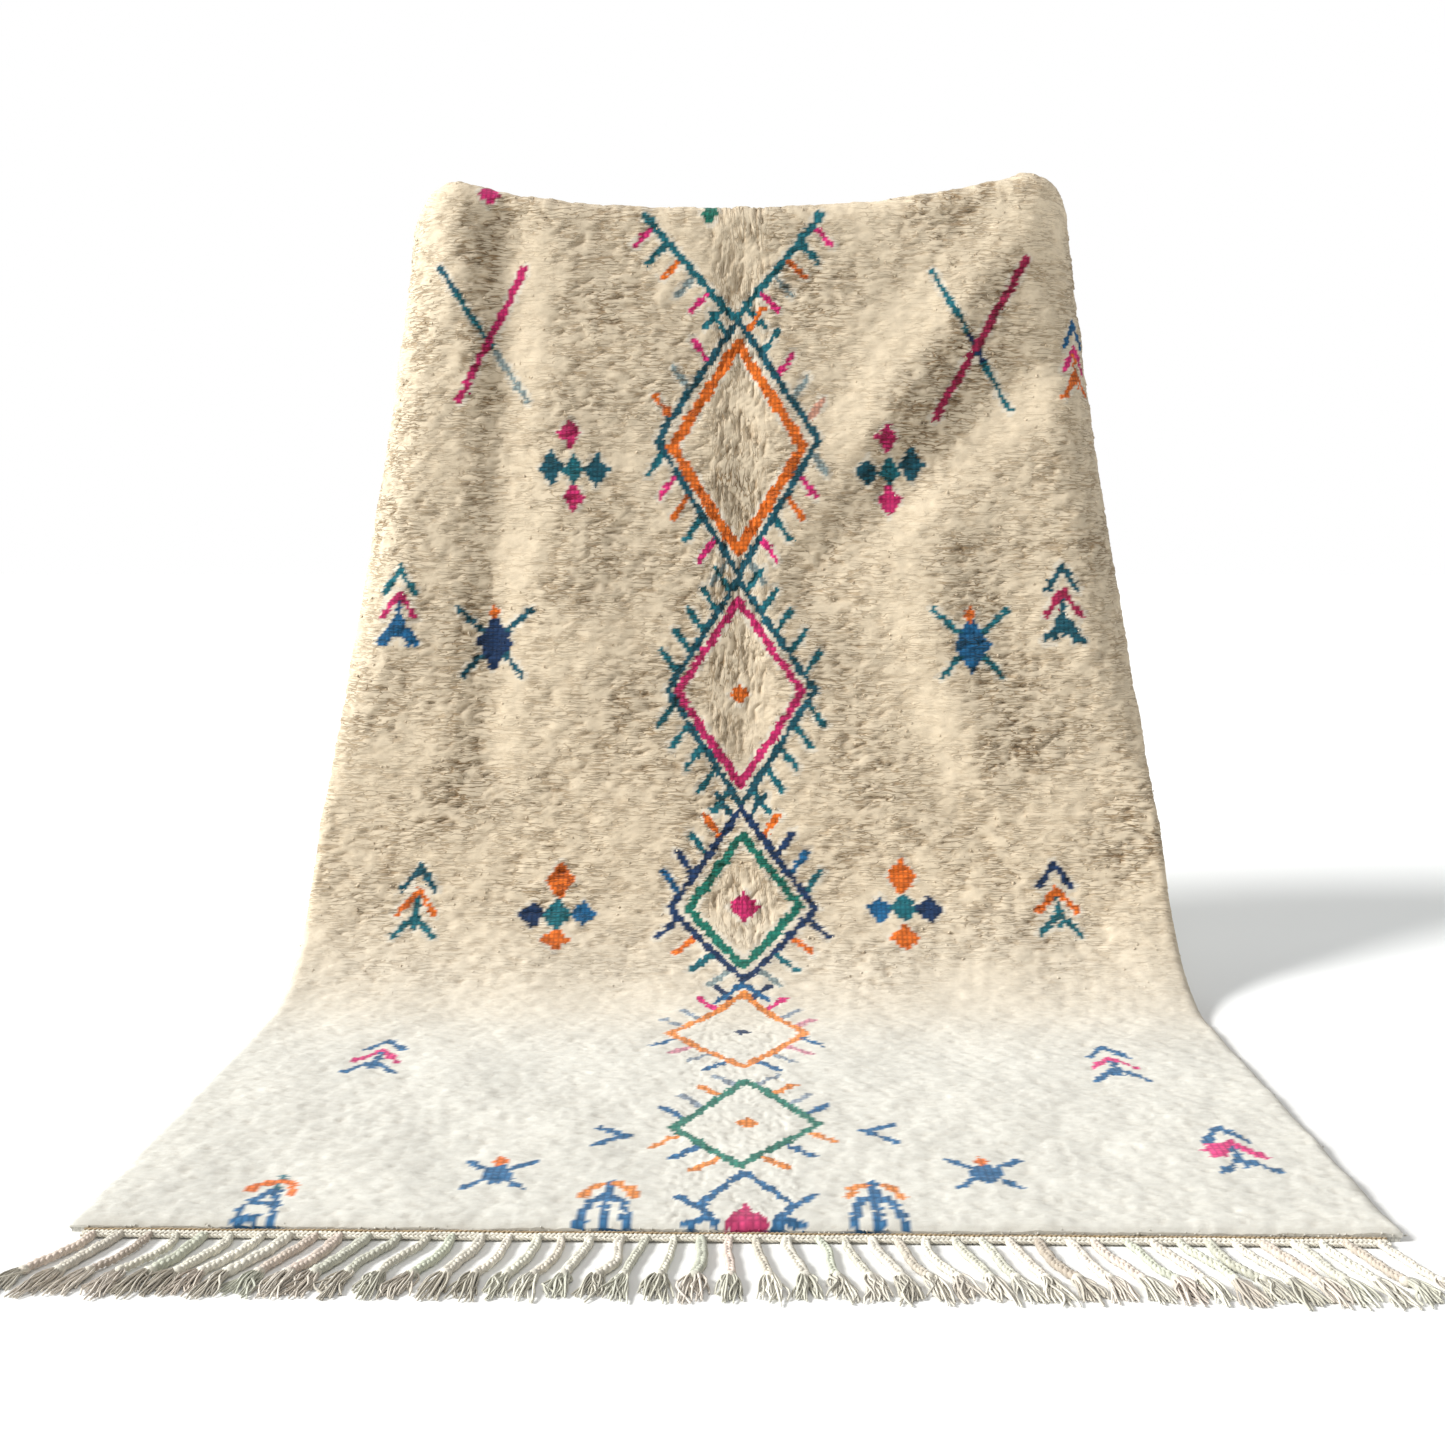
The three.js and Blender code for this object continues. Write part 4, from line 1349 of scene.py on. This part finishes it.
def build_tassels(settings):
    """Loose yarns past each knot, fanned on the floor."""
    random = np.random.default_rng(33)
    strands = Strands()
    root_y = HEM_Y - SEAM - BAND_DEPTH - BRAID_LENGTH + ROOT_DEPTH / 2
    for root, tip, lean, locks in fringe_places():
        rosy, shade = random.uniform(0, 0.65), random.uniform(0, 0.8)
        left, right = locks[0][0], locks[-1][0]
        for k in range(settings.yarns):
            across = random.uniform(0, 1)
            width = right - left + 2 * TASSEL_SPREAD
            end = left - TASSEL_SPREAD + width * across + random.normal(0, 0.003)
            long = locks[int(across * 2.99)][1] * random.uniform(0.60, 1.04)
            start_x = tip + 0.0055 * (2 * across - 1)
            layer = random.uniform(0, 1)
            share = np.linspace(0, 1, TASSEL_STEPS)
            sway = random.normal(0, 0.0040) * np.sin(np.pi * share * random.uniform(0.8, 2.4))
            x = start_x + (end - start_x) * share ** 0.8 + sway
            y = root_y + 0.004 - long * share
            top = 0.0035 + 0.0055 * layer
            z = settings.yarn + (top - settings.yarn) * (1 - share) ** 0.7
            z = z + 0.0030 * layer * np.sin(np.pi * share) + 0.0004
            thick = settings.yarn * (1.12 - 0.35 * share)
            strands.add(np.stack([x, y, z], 1), thick, tint(settings, shade, rosy, random))
    wool = fringe_material()
    return strands.spin("tassels", yarn_tree(), 3, wool)


# Stage

def build_stage(settings):
    """Floor, lights and camera."""
    scene = bpy.context.scene
    scene.view_settings.view_transform = "Standard"
    size = FLOOR_REACH
    floor = mesh_object("floor", [(-size, -size, 0), (size, -size, 0), (size, size, 0),
                                  (-size, size, 0)], [(0, 1, 2, 3)])
    plain = bpy.data.materials.new("Pale Floor")
    plain.use_nodes = True
    shader = plain.node_tree.nodes["Principled BSDF"]
    shader.inputs["Base Color"].default_value = (*settings.floor, 1.0)
    shader.inputs["Roughness"].default_value = 0.9
    floor.data.materials.append(plain)

    world = bpy.data.worlds.new("Soft Light")
    world.use_nodes = True
    shader = Shader(world.node_tree)
    sky = world.node_tree.nodes["Background"]
    seen = shader.add("ShaderNodeLightPath")[0]
    strength = shader.add("ShaderNodeMix", seen, settings.fill, 1.0)[0]
    world.node_tree.links.new(strength, sky.inputs["Strength"])
    sky.inputs["Color"].default_value = (1.0, 1.0, 1.0, 1.0)
    scene.world = world

    for name, where, width, tone in SUNS:
        lamp = bpy.data.lights.new(name, "SUN")
        lamp.energy, lamp.angle, lamp.color = getattr(settings, name), np.radians(width), tone
        made = bpy.data.objects.new(name, lamp)
        made.rotation_euler = Vector(where).to_track_quat("Z", "Y").to_euler()
        bpy.context.collection.objects.link(made)

    lens = bpy.data.cameras.new("camera")
    lens.sensor_width = SENSOR_WIDTH
    lens.lens = settings.focal
    camera = bpy.data.objects.new("camera", lens)
    camera.location = CAMERA_PLACE
    camera.rotation_euler = Euler(tuple(np.radians(CAMERA_TURN)))
    bpy.context.collection.objects.link(camera)
    scene.camera = camera


# Operators and panel

class RUG_OT_ground(bpy.types.Operator):
    """Weave the ground with the knots' colours on its back"""
    bl_idname = "rug.ground"
    bl_label = "Ground Weave"

    def execute(self, context):
        build_ground(context.scene.rug_pile)
        return {"FINISHED"}


class RUG_OT_pile(bpy.types.Operator):
    """Knot the pile and its motifs"""
    bl_idname = "rug.pile"
    bl_label = "Knotted Pile"

    def execute(self, context):
        build_pile(context.scene.rug_pile)
        return {"FINISHED"}


class RUG_OT_band(bpy.types.Operator):
    """Weave the band along the hem"""
    bl_idname = "rug.band"
    bl_label = "Woven Band"

    def execute(self, context):
        build_band(context.scene.rug_fringe)
        return {"FINISHED"}


class RUG_OT_braids(bpy.types.Operator):
    """Plait the braids and tie their knots"""
    bl_idname = "rug.braids"
    bl_label = "Braids and Knots"

    def execute(self, context):
        build_braids(context.scene.rug_fringe)
        return {"FINISHED"}


class RUG_OT_tassels(bpy.types.Operator):
    """Fan the loose yarns past the knots"""
    bl_idname = "rug.tassels"
    bl_label = "Tassels"

    def execute(self, context):
        build_tassels(context.scene.rug_fringe)
        return {"FINISHED"}


class RUG_OT_stage(bpy.types.Operator):
    """Set the floor, the lights and the camera"""
    bl_idname = "rug.stage"
    bl_label = "Stage"

    def execute(self, context):
        build_stage(context.scene.rug_stage)
        return {"FINISHED"}


class RUG_PT_panel(bpy.types.Panel):
    """Builds the rug piece by piece"""
    bl_idname = "RUG_PT_panel"
    bl_label = "Knotted Wool Rug"
    bl_space_type = "VIEW_3D"
    bl_region_type = "UI"
    bl_category = "Rug"

    def draw(self, context):
        for group in ("rug_pile", "rug_fringe", "rug_stage"):
            box = self.layout.box()
            settings = getattr(context.scene, group)
            for label in settings.__annotations__:
                box.prop(settings, label)
        for operator in OPERATORS:
            self.layout.operator(operator.bl_idname)


SETTINGS = {"rug_pile": RugPileSettings, "rug_fringe": RugFringeSettings,
            "rug_stage": RugStageSettings}
OPERATORS = (RUG_OT_ground, RUG_OT_pile, RUG_OT_band, RUG_OT_braids, RUG_OT_tassels,
             RUG_OT_stage)


def register():
    for group in (*SETTINGS.values(), *OPERATORS, RUG_PT_panel):
        bpy.utils.register_class(group)
    for name, group in SETTINGS.items():
        setattr(bpy.types.Scene, name, bpy.props.PointerProperty(type=group))


def unregister():
    for name in SETTINGS:
        delattr(bpy.types.Scene, name)
    for group in reversed((*SETTINGS.values(), *OPERATORS, RUG_PT_panel)):
        bpy.utils.unregister_class(group)


def main():
    register()
    bpy.ops.rug.ground()
    bpy.ops.rug.pile()
    bpy.ops.rug.band()
    bpy.ops.rug.braids()
    bpy.ops.rug.tassels()
    bpy.ops.rug.stage()
    names = ["woven_band", "braids", "tied_knots", "tassels", "loose_tufts"]
    names += [row[0] for row in BANDS]


if __name__ == "__main__":
    main()
